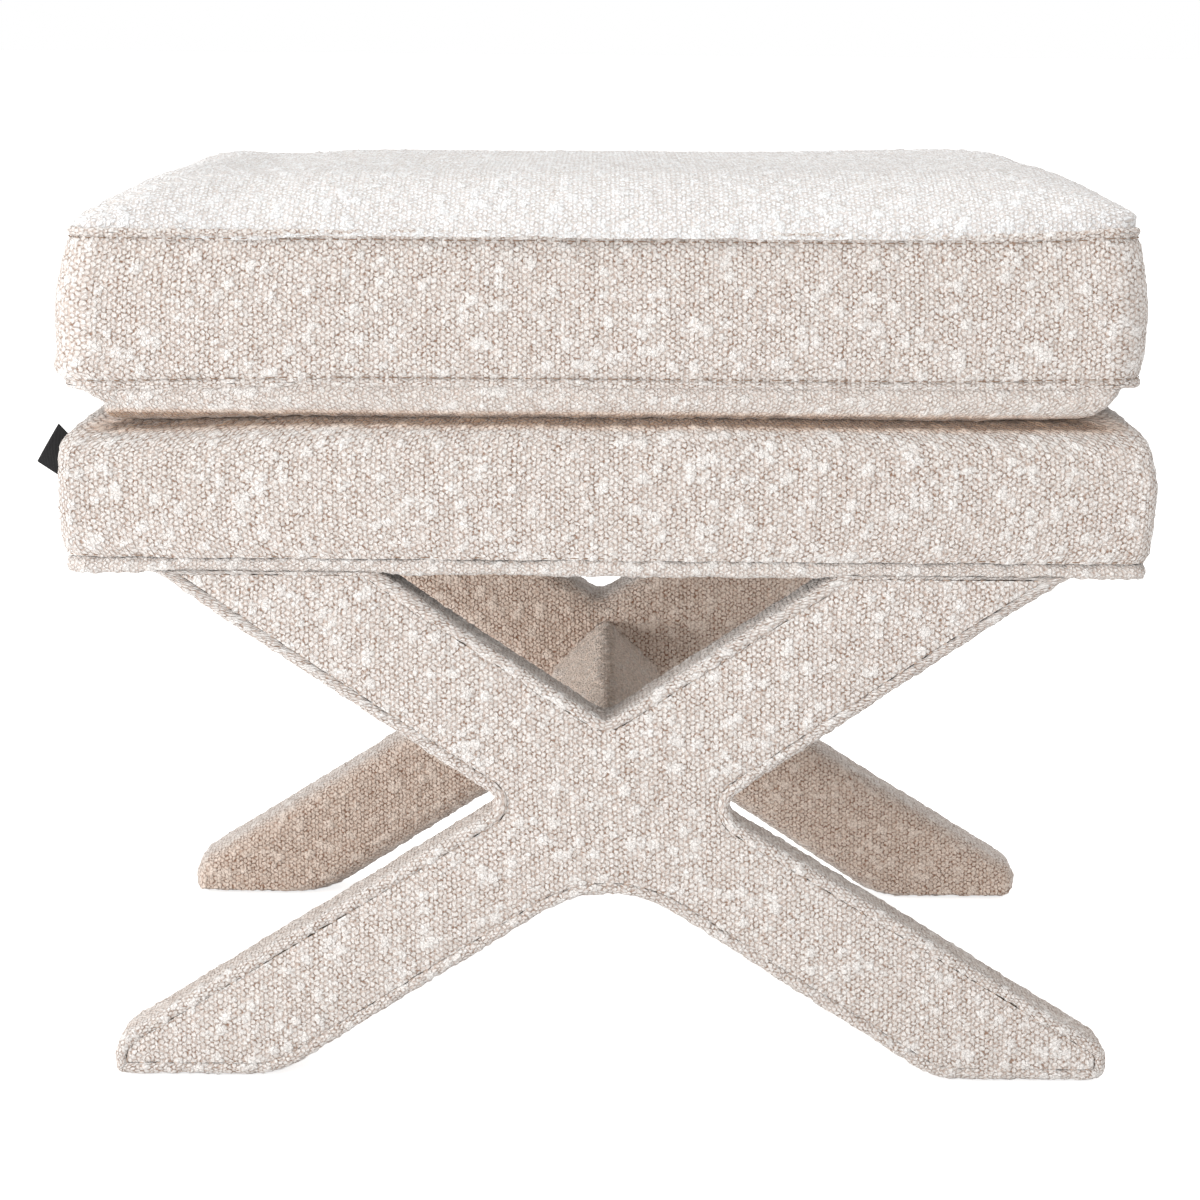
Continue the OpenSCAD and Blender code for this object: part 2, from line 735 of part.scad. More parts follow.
// Height shares up the wall, each with its share of the bulge
wall_shares = [[0, -0.2], [0.1, 0.45], [0.35, 0.85], [0.75, 1], [1, 0.8]];
shoulder_steps = 4;
corner_spread = 0.7;
function seat_ring(d, inward, z) =
    ring(seat_w / 2 - inward - d, seat_d / 2 - inward - d,
        max(seat_corner_r - d, r_min) + corner_spread * max(inward, 0), z);
function wall_rings(d) =
    [for (s = wall_shares) seat_ring(d, -s[1] * seat_bulge, wall_z + s[0] * wall_h)];
function shoulder_rings(d) =
    let (edge = -wall_shares[len(wall_shares) - 1][1] * seat_bulge)
    let (a = shoulder_in - d, b = shoulder_h - d)
    [for (k = [1:shoulder_steps])
        let (t = 90 * k / shoulder_steps)
        seat_ring(d, edge + a * (1 - cos(t)), wall_z + wall_h + b * sin(t))];
function reversed(list) = [for (k = [len(list) - 1:-1:0]) list[k]];

module seat_cover() {
    color(CREAM)
        loft(concat(reversed(concat(wall_rings(fabric_t), shoulder_rings(fabric_t))),
            wall_rings(0), shoulder_rings(0)), ring_cap);
}
module seat_side_padding() {
    d = fabric_t + layer_gap;
    x = rail_x + layer_gap;
    y = rail_y + layer_gap;
    top = foam_z - layer_gap;
    outer = [for (s = wall_shares)
        seat_ring(d, -s[1] * seat_bulge, min(wall_z + s[0] * wall_h, top))];
    color(FIBRE)
        loft(concat(outer,
            [ring(x, y, r_min, top), ring(x, y, r_min, wall_z)]), joined = true);
}
module seat_foam() {
    d = fabric_t + layer_gap;
    edge = -wall_shares[len(wall_shares) - 1][1] * seat_bulge;
    color(FOAM)
        loft(concat([seat_ring(d, edge, foam_z)], shoulder_rings(d)), ring_cap);
}
module seat_hem() {
    r = hem_d / 2;
    color(CREAM)
        loft(concat(
            [for (t = [-90, -45, 0, 45, 90])
                seat_ring(r * (1 - cos(t)), 0, underside_z + r * (1 + sin(t)))],
            [for (z = [underside_z + hem_d, underside_z])
                ring(rail_x + layer_gap, rail_y + layer_gap, r_min, z)]), joined = true);
}

// Woven tab: a folded strip that leans out of the left wall near the front corner
tab_y = seat_d / 2 - seat_corner_r - tab_t;
tab_top_z = seat_top_z - shoulder_h / 2;
module side_tab() {
    color(BLACK)
        difference() {
            translate([-seat_w / 2 - seat_bulge - tab_out, -tab_y, tab_top_z - tab_l * cos(tab_lean)])
                rotate([0, tab_lean, 0])
                    cube([tab_w, tab_t, tab_l]);
            loft(concat(wall_rings(-layer_gap), shoulder_rings(-layer_gap)), ring_cap);
        }
}

// Cushion: heights of its seams and the faces of its layers
module on_seat() {
    translate([-cushion_off, 0, 0]) children();
}
cushion_z = seat_top_z + cushion_gap;
bottom_seam_z = cushion_z + seam_drop;
top_seam_z = bottom_seam_z + boxing_h;
welt_r = welt_d / 2;
edge_in = welt_r + layer_gap;
bows = [0, drawn_in, drawn_in, drawn_in];
function cushion_ring(inward, z, lift) =
    ring(cushion_w / 2 - inward, cushion_d / 2 - inward,
        max(cushion_corner_r - inward, r_min) + corner_spread * max(inward, 0), z, bows, lift);

// Crown: rings at shares of its reach, from one of them inward, at a drop below its face
crown_power = 2;
// Slack between the crown and the fibre under it
crown_slack = 0.8;
crown_shares = [0, 0.08, 0.2, 0.38, 0.62, 1];
function crown_rings(from, drop) =
    [for (k = [from:len(crown_shares) - 1])
        let (s = crown_shares[k], inward = edge_in + s * (crown_in - edge_in))
        let (rise = 1 - pow(1 - inward / crown_in, crown_power))
        cushion_ring(inward, top_seam_z + crown_h * rise - drop, corner_lift * (1 - s))];
module cushion_top_panel() {
    color(CREAM) on_seat()
        loft(concat(reversed(crown_rings(0, fabric_t)), crown_rings(0, 0)), ring_cap);
}

// Bottom panel: shares of its reach inward, with the share of the drop that each has
under_in = 34;
under_shares = [[0, 0.1], [0.15, 0.45], [0.45, 0.86], [1, 1]];
function under_rings(start, rise) =
    [for (s = under_shares)
        cushion_ring(start + s[0] * (under_in - start), bottom_seam_z - seam_drop * s[1] + rise, 0)];
module cushion_bottom_panel() {
    color(CREAM) on_seat()
        loft(concat(reversed(under_rings(edge_in, 0)), under_rings(edge_in, fabric_t)), ring_cap);
}

// Boxing between the seams: rings at depth d under its face
boxing_low_z = bottom_seam_z + edge_in;
boxing_high_z = top_seam_z - edge_in;
boxing_levels = [0, 0.16, 0.5, 0.84, 1];
function swell(z) = boxing_bulge * sqrt(sin(180 * (z - bottom_seam_z) / boxing_h));
function boxing_lift(z) = corner_lift * pow(max(2 * (z - bottom_seam_z) / boxing_h - 1, 0), 2);
function boxing_ring(d, z) =
    let (out = swell(z) - d)
    ring(cushion_w / 2 + out, cushion_d / 2 + out, cushion_corner_r + out, z, bows, boxing_lift(z));
// Strip of the boxing between two heights, over some of the ring's stations
function strip_sections(z1, z2, levels, stations) =
    let (zs = [for (s = levels) z1 + s * (z2 - z1)])
    let (rings = concat([for (z = zs) boxing_ring(0, z)], [for (z = reversed(zs)) boxing_ring(fabric_t, z)]))
    [for (i = stations) [for (r = rings) r[i % ring_n]]];
module boxing_strip(z1, z2, levels, stations) {
    n = 2 * len(levels);
    loft(strip_sections(z1, z2, levels, reversed(stations)),
        [for (k = [0:n / 2 - 2]) [k, k + 1, n - 2 - k, n - 1 - k]]);
}
rear_stations = span(arc_n, arc_n + side_n + 1);
front_stations = span(arc_n + side_n + 1, ring_n + arc_n);
module cushion_boxing() {
    color(CREAM) on_seat() boxing_strip(boxing_low_z, boxing_high_z, boxing_levels, front_stations);
}

module welt(z, lift) {
    loft([for (t = [-120:60:180])
        let (out = welt_r * cos(t))
        ring(cushion_w / 2 + out, cushion_d / 2 + out, cushion_corner_r + out,
            z + welt_r * sin(t), bows, lift)], joined = true);
}
module cushion_top_welt() { color(CREAM) on_seat() welt(top_seam_z, corner_lift); }
module cushion_bottom_welt() { color(CREAM) on_seat() welt(bottom_seam_z, 0); }

// Filling: foam block between two fibre pads
core_in = edge_in + fabric_t + drawn_in;
bottom_fibre_t = 6;
core_z = cushion_z + fabric_t + 2 * layer_gap + bottom_fibre_t;
core_top_z = top_seam_z - fabric_t;
core_chamfer = 8;
module cushion_core() {
    x = cushion_w / 2 - core_in;
    y = cushion_d / 2 - core_in;
    r = cushion_corner_r;
    color(FOAM) on_seat()
        loft([ring(x - core_chamfer, y - core_chamfer, r, core_z),
            ring(x, y, r, core_z + core_chamfer),
            ring(x, y, r, core_top_z)], ring_cap);
}
module cushion_top_fibre() {
    color(FIBRE) on_seat()
        loft(concat([cushion_ring(core_in, core_top_z + layer_gap, 0)],
            crown_rings(1, fabric_t + crown_slack)), ring_cap);
}
module cushion_bottom_fibre() {
    color(FIBRE) on_seat()
        loft([cushion_ring(under_in, cushion_z + fabric_t + layer_gap, 0),
            cushion_ring(core_in + under_in / 3, core_z - layer_gap, 0)], ring_cap);
}

// Zip in the rear boxing
zip_run = cushion_w - 2 * zip_margin;
zip_z = bottom_seam_z + boxing_h / 2;
tape_t = 0.8;
tape_w = 14;
tape_split = 0.4;
strip_levels = [0, 0.5, 1];
zip_face_y = cushion_d / 2 + swell(zip_z);
tape_sink = 1;
tape_y = zip_face_y - fabric_t - layer_gap - tape_t - tape_sink;
chain_y = tape_y + tape_t;
slider_gap = 0.3;
slider_wall = 0.8;
module zip_strip_upper() {
    color(CREAM) on_seat() boxing_strip(zip_z + zip_gap / 2, boxing_high_z, strip_levels, rear_stations);
}
module zip_strip_lower() {
    color(CREAM) on_seat() boxing_strip(boxing_low_z, zip_z - zip_gap / 2, strip_levels, rear_stations);
}
module zip_tapes() {
    color("#cfc3b5") on_seat()
        for (s = [-1, 1])
            translate([-zip_run / 2 - tape_w / 2, tape_y, zip_z + (s > 0 ? tape_split : -tape_split - tape_w)])
                cube([zip_run + tape_w, tape_t, tape_w]);
}
module zip_chain() {
    color("#d8cfc4") on_seat()
        translate([-zip_run / 2, chain_y, zip_z])
            rotate([90, 0, 90])
                linear_extrude(zip_run)
                    polygon([[0, -chain_w / 2], [chain_t * 2 / 3, -chain_w / 2], [chain_t, -chain_w / 3],
                        [chain_t, chain_w / 3], [chain_t * 2 / 3, chain_w / 2], [0, chain_w / 2]]);
}
stop_l = 3;
module zip_stops() {
    color(STEEL) on_seat()
        both_sides()
            translate([zip_run / 2, chain_y, zip_z - chain_w / 2])
                cube([stop_l, chain_t, chain_w]);
}
// Slider: a channel over the chain, with a bridge that holds the pull's crossbar
plate_y = chain_y + chain_t + slider_gap;
slider_x = zip_run / 2 - slider_l;
bridge_w = 2.2;
bridge_wall = 0.9;
bar_r = 0.7;
bridge_in = 2 * bar_r + slider_gap;
module zip_slider() {
    half_w = chain_w / 2 + slider_gap + slider_wall;
    lip_y = chain_y + slider_gap;
    bridge_l = slider_l * 2 / 3;
    color(STEEL) on_seat()
        union() {
            difference() {
                translate([slider_x, lip_y, zip_z - half_w])
                    cube([slider_l, plate_y + slider_wall - lip_y, 2 * half_w]);
                translate([slider_x - over, lip_y - over, zip_z - half_w + slider_wall])
                    cube([slider_l + 2 * over, plate_y - lip_y + over, 2 * (half_w - slider_wall)]);
            }
            difference() {
                translate([slider_x + slider_l / 2 - bridge_l / 2, plate_y + slider_wall / 2, zip_z - bridge_w / 2])
                    cube([bridge_l, slider_wall / 2 + bridge_in + bridge_wall, bridge_w]);
                translate([slider_x + slider_l / 2 - bridge_l / 2 + bridge_wall, plate_y + slider_wall, zip_z - bridge_w])
                    cube([bridge_l - 2 * bridge_wall, bridge_in, 2 * bridge_w]);
            }
        }
}
pull_l = 22;
pull_w = 7;
pull_t = 1;
module zip_pull() {
    x = slider_x + slider_l / 2;
    y = plate_y + slider_wall + slider_gap / 2 + bar_r;
    arm_in = bridge_w / 2 + slider_gap;
    window_l = slider_l / 2 + slider_wall;
    color(STEEL) on_seat()
        translate([x, y, zip_z]) {
            translate([0, 0, -pull_w / 2])
                cylinder(r = bar_r, h = pull_w, $fn = round_fn);
            difference() {
                translate([0, -pull_t / 2, -pull_w / 2])
                    cube([pull_l, pull_t, pull_w]);
                translate([-over, -pull_t, -arm_in])
                    cube([window_l + over, 2 * pull_t, 2 * arm_in]);
            }
        }
}

front_x_cover_left();
front_x_cover_right();
front_x_face_panel();
front_x_padding();
front_x_face_pad();
front_x_beam_left();
front_x_beam_right();
front_x_arch_block();
rear_x_cover_left();
rear_x_cover_right();
rear_x_face_panel();
rear_x_padding();
rear_x_face_pad();
rear_x_beam_left();
rear_x_beam_right();
rear_x_arch_block();
lap_screws();
foot_glides();
stretcher_cover();
stretcher_padding();
stretcher_core();
stretcher_bolts();
stretcher_washers();
stretcher_inserts();
frame_bolts();
frame_washers();
arm_inserts();
seat_rail_front();
seat_rail_rear();
seat_rail_left();
seat_rail_right();
corner_blocks();
webbing_long();
webbing_cross();
hessian_sheet();
seat_side_padding();
seat_foam();
seat_cover();
seat_hem();
dust_cover();
side_tab();
cushion_core();
cushion_top_fibre();
cushion_bottom_fibre();
cushion_top_panel();
cushion_bottom_panel();
cushion_boxing();
cushion_top_welt();
cushion_bottom_welt();
zip_strip_upper();
zip_strip_lower();
zip_tapes();
zip_chain();
zip_stops();
zip_slider();
zip_pull();
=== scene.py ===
import math

import bpy
import numpy as np
from mathutils import Matrix, Vector
from mathutils.geometry import delaunay_2d_cdt


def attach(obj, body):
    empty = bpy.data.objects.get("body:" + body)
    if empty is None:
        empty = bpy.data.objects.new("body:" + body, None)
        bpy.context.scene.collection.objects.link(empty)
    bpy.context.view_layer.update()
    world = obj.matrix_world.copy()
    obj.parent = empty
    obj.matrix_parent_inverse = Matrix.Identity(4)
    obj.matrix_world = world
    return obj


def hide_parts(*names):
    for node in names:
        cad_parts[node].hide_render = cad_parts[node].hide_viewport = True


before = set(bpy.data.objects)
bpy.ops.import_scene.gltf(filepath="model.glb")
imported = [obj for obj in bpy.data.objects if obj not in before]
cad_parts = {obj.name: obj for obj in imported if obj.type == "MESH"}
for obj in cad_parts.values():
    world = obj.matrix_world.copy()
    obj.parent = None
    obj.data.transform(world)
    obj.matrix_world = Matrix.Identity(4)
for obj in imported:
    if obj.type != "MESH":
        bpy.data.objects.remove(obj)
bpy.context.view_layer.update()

scene = bpy.context.scene
MM = 0.001
STEP = 1.9  # between neighbouring vertices of the fabric

# Main sizes in millimetres, the same as in the part's source
FRAME_Y, FRAME_T = 224.85, 45.5
SEAT_W, SEAT_D, SEAT_R, SEAT_X = 606.0, 450.0, 10.0, -2.3
SEAT_LOW, SEAT_TOP, HEM = 295.0, 386.0, 8.0
CUSH_W, CUSH_D, CUSH_R, CUSH_X = 596.0, 446.0, 16.0, -5.5
LOW_SEAM, TOP_SEAM, CROWN = 401.3, 483.3, 32.0
ZIP_Z, ZIP_GAP, ZIP_L = 442.3, 8.8, 250.0
BAR_W, BAR_L, BAR_Z = 52.0, 358.1, 159.0

# Fabric, in millimetres
LOOP_PITCH, LOOP_RISE = 2.645, 1.2155  # between columns of loops, and how much more up a column
SLUB_CELL, SLUB_SHARE = 6.5, 0.17  # one slub at most in each cell, and the share of cells that have one


# Noise
def hashed(i, j, k, seed):
    """Scattered numbers from 0 to 1, the same for the same whole numbers."""
    h = (i * 73856093) ^ (j * 19349663) ^ (k * 83492791) ^ (seed * 265443576)
    h = (h ^ (h >> 13)) * 1274126177
    h = h ^ (h >> 16)
    return (h & 0xFFFF) / 65535.0


def noise(p, cell, seed):
    """Smooth value noise from -1 to 1 at the points p, with cells of that size."""
    q = np.asarray(p, float) / cell
    i = np.floor(q).astype(np.int64)
    f = q - i
    f = f * f * (3 - 2 * f)
    out = 0.0
    for corner in np.ndindex(2, 2, 2):
        share = np.prod(np.where(corner, f, 1 - f), -1)
        out = out + share * hashed(*np.moveaxis(i + corner, -1, 0), seed)
    return 2 * out - 1


def flat_noise(x, y, cell, seed):
    return noise(np.stack([x, y + x * 0, x * 0], -1), cell, seed)


def slubs(flat, seed):
    """Round slubs at scattered points of the cloth, from 0 to 1."""
    q = np.asarray(flat, float) / SLUB_CELL
    i = np.floor(q).astype(np.int64)
    best = np.zeros(q.shape[:-1])
    for near in np.ndindex(3, 3):
        cell = i + near - np.array([1, 1])
        across, up, size, there = (hashed(cell[..., 0], cell[..., 1], k, seed) for k in (1, 2, 3, 4))
        middle = cell + 0.15 + 0.7 * np.stack([across, up], -1)
        r2 = ((q - middle) ** 2).sum(-1) / (0.42 + 0.3 * size) ** 2
        best = np.maximum(best, (there < SLUB_SHARE) * np.clip(1 - r2, 0, 1))
    return best


# Helpers
def smooth(a, b, x):
    """Soft step: 0 at a, 1 at b."""
    t = np.clip((x - a) / (b - a), 0, 1)
    return t * t * (3 - 2 * t)


def unit(v):
    return v / np.maximum(np.linalg.norm(v, axis=-1, keepdims=True), 1e-9)


def closed(path):
    return np.concatenate([path, path[:1]])


def lengths(path):
    """Way along a path to each of its points."""
    return np.concatenate([[0], np.cumsum(np.linalg.norm(np.diff(path, axis=0), axis=1))])


def pairs(u, v):
    """Grid of all pairs of u, which runs along a row, and v."""
    return np.stack(np.meshgrid(u, v), -1)


def spoke(angle):
    return np.array([math.cos(angle), math.sin(angle)])


def circle(count):
    """Cosines and sines of even angles round a full turn."""
    turn = np.linspace(0, 2 * np.pi, count, endpoint=False)
    return np.cos(turn), np.sin(turn)


# Meshes
def add_object(name, data):
    ob = bpy.data.objects.new(name, data)
    scene.collection.objects.link(ob)
    return ob


def make_mesh(name, verts, faces, uvs, mat, slub=None, body="base", painted_shade=None):
    """Mesh object from millimetre vertices; uvs holds a pair for each face corner, in millimetres."""
    me = bpy.data.meshes.new(name)
    me.from_pydata(np.asarray(verts) * MM, [], faces, shade_flat=False)
    layer = me.uv_layers.new(name="weave")
    layer.data.foreach_set("uv", (np.asarray(uvs, np.float32) * MM).ravel())
    # Point attributes: slubs of the cloth, and painted shade for folds and inner faces
    for label, values in (("slub", slub), ("painted_shade", painted_shade)):
        if values is not None:
            attr = me.attributes.new(label, "FLOAT", "POINT")
            attr.data.foreach_set("value", np.asarray(values, np.float32).ravel())
    ob = add_object(name, me)
    me.materials.append(mat)
    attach(ob, body)
    return ob


def grid_faces(n, m, wrap=False, flip=False):
    i = np.arange(n - 1)[:, None]
    j = np.arange(m if wrap else m - 1)[None, :]
    k = (j + 1) % m
    quads = np.stack([i * m + j, i * m + k, (i + 1) * m + k, (i + 1) * m + j], -1).reshape(-1, 4)
    return quads[:, ::-1] if flip else quads


def grid_uvs(uv, m, wrap=False, flip=False):
    """Corner UVs of a grid with m columns; with wrap, uv has one column more than the points."""
    cols = m if wrap else m - 1
    near, far = uv[:, :cols], uv[:, 1:cols + 1]
    corners = np.stack([near[:-1], far[:-1], far[1:], near[1:]], 2).reshape(-1, 4, 2)
    return corners[:, ::-1] if flip else corners


def normals(p, wrap):
    du = np.roll(p, -1, 1) - np.roll(p, 1, 1) if wrap else np.gradient(p, axis=1)
    return unit(np.cross(du, np.gradient(p, axis=0)))


def relief(p, flat, seed):
    """Height of the fabric's slubs and uneven loops over a smooth surface, and the slubs alone."""
    s = slubs(flat, seed)
    d = 0.55 * s + 0.85 * noise(p, 2.6, seed + 1) + 0.2 * noise(p, 8.0, seed + 2)
    return d + 0.45 * noise(p, 55.0, seed + 3) - 0.2, s


def cloth(p, uv, seed, out, wrap, amount):
    """Points pushed out by the fabric's relief; out is the side that faces outward."""
    d, s = relief(p, uv[:, :p.shape[1]], seed)
    return p + normals(p, wrap) * out * (d * amount)[..., None], s


def grid_piece(name, p, uv, mat, seed, out=1, wrap=False, amount=1.0, body="base", painted_shade=None):
    n, m = p.shape[:2]
    q, s = cloth(p, uv, seed, out, wrap, amount)
    faces, corners = grid_faces(n, m, wrap, out < 0), grid_uvs(uv, m, wrap, out < 0)
    return make_mesh(name, q.reshape(-1, 3), faces, corners, mat, s, body, painted_shade)


# Rounded rectangles
class Stations:
    """Places round a rounded rectangle, at even steps, shared by all rings of one piece."""

    def __init__(self, width, depth, r, dx, bows=(0, 0, 0, 0), arc=None):
        self.hw, self.hd, self.r, self.dx, self.bows = width / 2, depth / 2, r, dx, bows
        corner_n = arc or max(6, round(r * math.pi / 2 / STEP))
        places = []
        for k in range(4):
            side = 2 * ((self.hw if k % 2 == 0 else self.hd) - r)
            for on_side, n in ((0, corner_n), (1, max(8, round(side / STEP)))):
                places += [(k, on_side, i / n) for i in range(n)]
        self.q, self.on_side = (np.array([place[k] for place in places]) for k in (0, 1))
        self.t = np.array([place[2] for place in places])
        self.n = len(places)
        self.u = lengths(closed(self.ring(self.hw, self.hd, r)))

    def ring(self, hw, hd, r, bows=(0, 0, 0, 0)):
        """Outline of that size; bows draw its rear, left, front and right side in at the middle."""
        cx = np.array([hw - r, r - hw, r - hw, hw - r])
        cy = np.array([hd - r, hd - r, r - hd, r - hd])
        q, t = self.q, self.t
        ang = np.pi / 2 * (q + t)
        arc = np.stack([cx[q] + r * np.cos(ang), cy[q] + r * np.sin(ang)], 1)
        nq = (q + 1) % 4
        side_dir = np.pi / 2 * (q + 1)
        off = r - np.array(bows)[q] * (1 - (2 * t - 1) ** 2)
        side = np.stack([cx[q] + (cx[nq] - cx[q]) * t + np.cos(side_dir) * off,
                         cy[q] + (cy[nq] - cy[q]) * t + np.sin(side_dir) * off], 1)
        return np.where(self.on_side[:, None] == 0, arc, side)

    def ring3(self, inset, r, z, more_x=0.0):
        """Ring at height z, inset from the outline; more_x sets both ends further out."""
        p = self.ring(self.hw - inset + more_x, self.hd - inset, r, self.bows)
        return np.concatenate([p + [self.dx, 0], np.broadcast_to(np.reshape(z, (-1, 1)), (self.n, 1))], 1)

    def inset_rows(self, spread, insets, heights):
        """Rings whose inset and height both differ from place to place."""
        zero = self.ring(self.hw, self.hd, self.r, self.bows)
        one = self.ring(self.hw - 1, self.hd - 1, self.r + spread, self.bows) - zero
        xy = zero + one * insets[..., None] + [self.dx, 0]
        return np.concatenate([xy, np.broadcast_to(heights, insets.shape)[..., None]], -1)

    def facing(self):
        """1 where the outline faces the front or the rear, 0 at its ends, with a soft change between."""
        p = np.abs(self.ring(self.hw, self.hd, self.r))
        return smooth(-12, 22, (self.hw - p[:, 0]) - (self.hd - p[:, 1]))

    def ripple(self, cell, seed):
        """Noise along the outline."""
        return flat_noise(self.u[:-1], 0, cell, seed)

    def ring_uv(self, rows, base=0.0):
        return pairs(self.u, base + lengths(rows[:, self.n // 8]))


def inward(x, y, hw, hd, r0, spread):
    """How far a point lies inside a rounded rectangle whose corners grow rounder inward."""
    ax, ay = np.abs(x), np.abs(y)
    qx, qy = ax - (hw - r0), ay - (hd - r0)
    k = 1 + spread
    a = 2 * k * k - spread * spread
    b = 2 * k * (qx + qy) - 2 * spread * r0
    c = qx * qx + qy * qy - r0 * r0
    root = np.sqrt(np.maximum(b * b - 4 * a * c, 0))
    w = np.minimum(hw - ax, hd - ay)
    for at_corner in ((-b + root) / (2 * a), (-b - root) / (2 * a)):
        w = np.where((qx + k * at_corner > 0) & (qy + k * at_corner > 0), at_corner, w)
    return w


def rounded_grid(hw, hd, r, step):
    """Square grid drawn onto a rounded rectangle."""
    nx, ny = round(2 * hw / step), round(2 * hd / step)
    x, y = np.meshgrid(np.linspace(-hw, hw, nx), np.linspace(-hd, hd, ny))
    dx, dy = np.maximum(np.abs(x) - (hw - r), 0), np.maximum(np.abs(y) - (hd - r), 0)
    k = np.maximum(dx, dy) / np.maximum(np.hypot(dx, dy), 1e-9)
    x = np.sign(x) * (np.minimum(np.abs(x), hw - r) + dx * k)
    y = np.sign(y) * (np.minimum(np.abs(y), hd - r) + dy * k)
    return x, y


# Materials
def scaled(colour, by):
    """Colour times a number or another colour, 1 at most."""
    return tuple(float(c) for c in np.minimum(np.multiply(colour, by), 1.0))


class Nodes:
    """A material's node tree, with short calls for the nodes that the materials here use."""

    def __init__(self, name):
        self.mat = bpy.data.materials.new(name)
        self.mat.use_nodes = True
        self.tree = self.mat.node_tree
        self.tree.nodes.clear()
        self.out = self.add("ShaderNodeOutputMaterial")
        self.bsdf = self.add("ShaderNodeBsdfPrincipled")
        self.put(self.out.inputs[0], self.bsdf.outputs[0])

    def put(self, socket, value):
        if isinstance(value, bpy.types.NodeSocket):
            self.tree.links.new(value, socket)
        else:
            socket.default_value = value

    def add(self, kind, inputs=None, **settings):
        """New node; inputs gives a value or another node's output for each input, by name or number."""
        node = self.tree.nodes.new(kind)
        for key, value in settings.items():
            setattr(node, key, value)
        for key, value in (inputs or {}).items():
            self.put(node.inputs[key], value)
        return node

    def math(self, op, a, b=0.0, c=0.0, clamp=False):
        return self.add("ShaderNodeMath", {0: a, 1: b, 2: c}, operation=op, use_clamp=clamp).outputs[0]

    def line(self, x, factor, plus):
        return self.math("MULTIPLY_ADD", x, factor, plus)

    def ramp(self, x, low, high, to_low=0.0, to_high=1.0):
        inputs = {"Value": x, "From Min": low, "From Max": high, "To Min": to_low, "To Max": to_high}
        return self.add("ShaderNodeMapRange", inputs, interpolation_type="SMOOTHSTEP").outputs["Result"]

    def mix(self, factor, a, b, **settings):
        inputs = {"Factor": factor}
        for side, colour in (("A", a), ("B", b)):
            inputs[side] = colour if isinstance(colour, bpy.types.NodeSocket) else (*colour, 1)
        return self.add("ShaderNodeMix", inputs, data_type="RGBA", **settings).outputs["Result"]

    def times(self, a, b):
        return self.mix(1.0, a, b, blend_type="MULTIPLY")

    def noise(self, vec, scale, detail=2.0, rough=0.5, dims="3D", swirl=0.0, output="Fac"):
        inputs = {"Vector": vec, "Scale": scale, "Detail": detail, "Roughness": rough, "Distortion": swirl}
        return self.add("ShaderNodeTexNoise", inputs, noise_dimensions=dims).outputs[output]

    def cells(self, vec, scale):
        """Distance to the nearest cell's middle, and two random numbers of that cell."""
        cell = self.add("ShaderNodeTexVoronoi", {"Vector": vec, "Scale": scale}, voronoi_dimensions="2D")
        random = self.add("ShaderNodeSeparateColor", {0: cell.outputs["Color"]})
        return cell.outputs["Distance"], random.outputs[0], random.outputs[1]

    def attribute(self, name):
        return self.add("ShaderNodeAttribute", attribute_type="GEOMETRY", attribute_name=name).outputs["Fac"]

    def object_axes(self):
        return self.add("ShaderNodeTexCoord").outputs["Object"]

    def bump(self, height, distance):
        node = self.add("ShaderNodeBump", {"Height": height, "Distance": distance})
        self.put(self.bsdf.inputs["Normal"], node.outputs[0])

    def surface(self, colour, roughness, specular=0.5, sheen=0.0):
        self.put(self.bsdf.inputs["Base Color"], colour)
        self.put(self.bsdf.inputs["Roughness"], roughness)
        self.put(self.bsdf.inputs["Specular IOR Level"], specular)
        self.put(self.bsdf.inputs["Sheen Weight"], sheen)


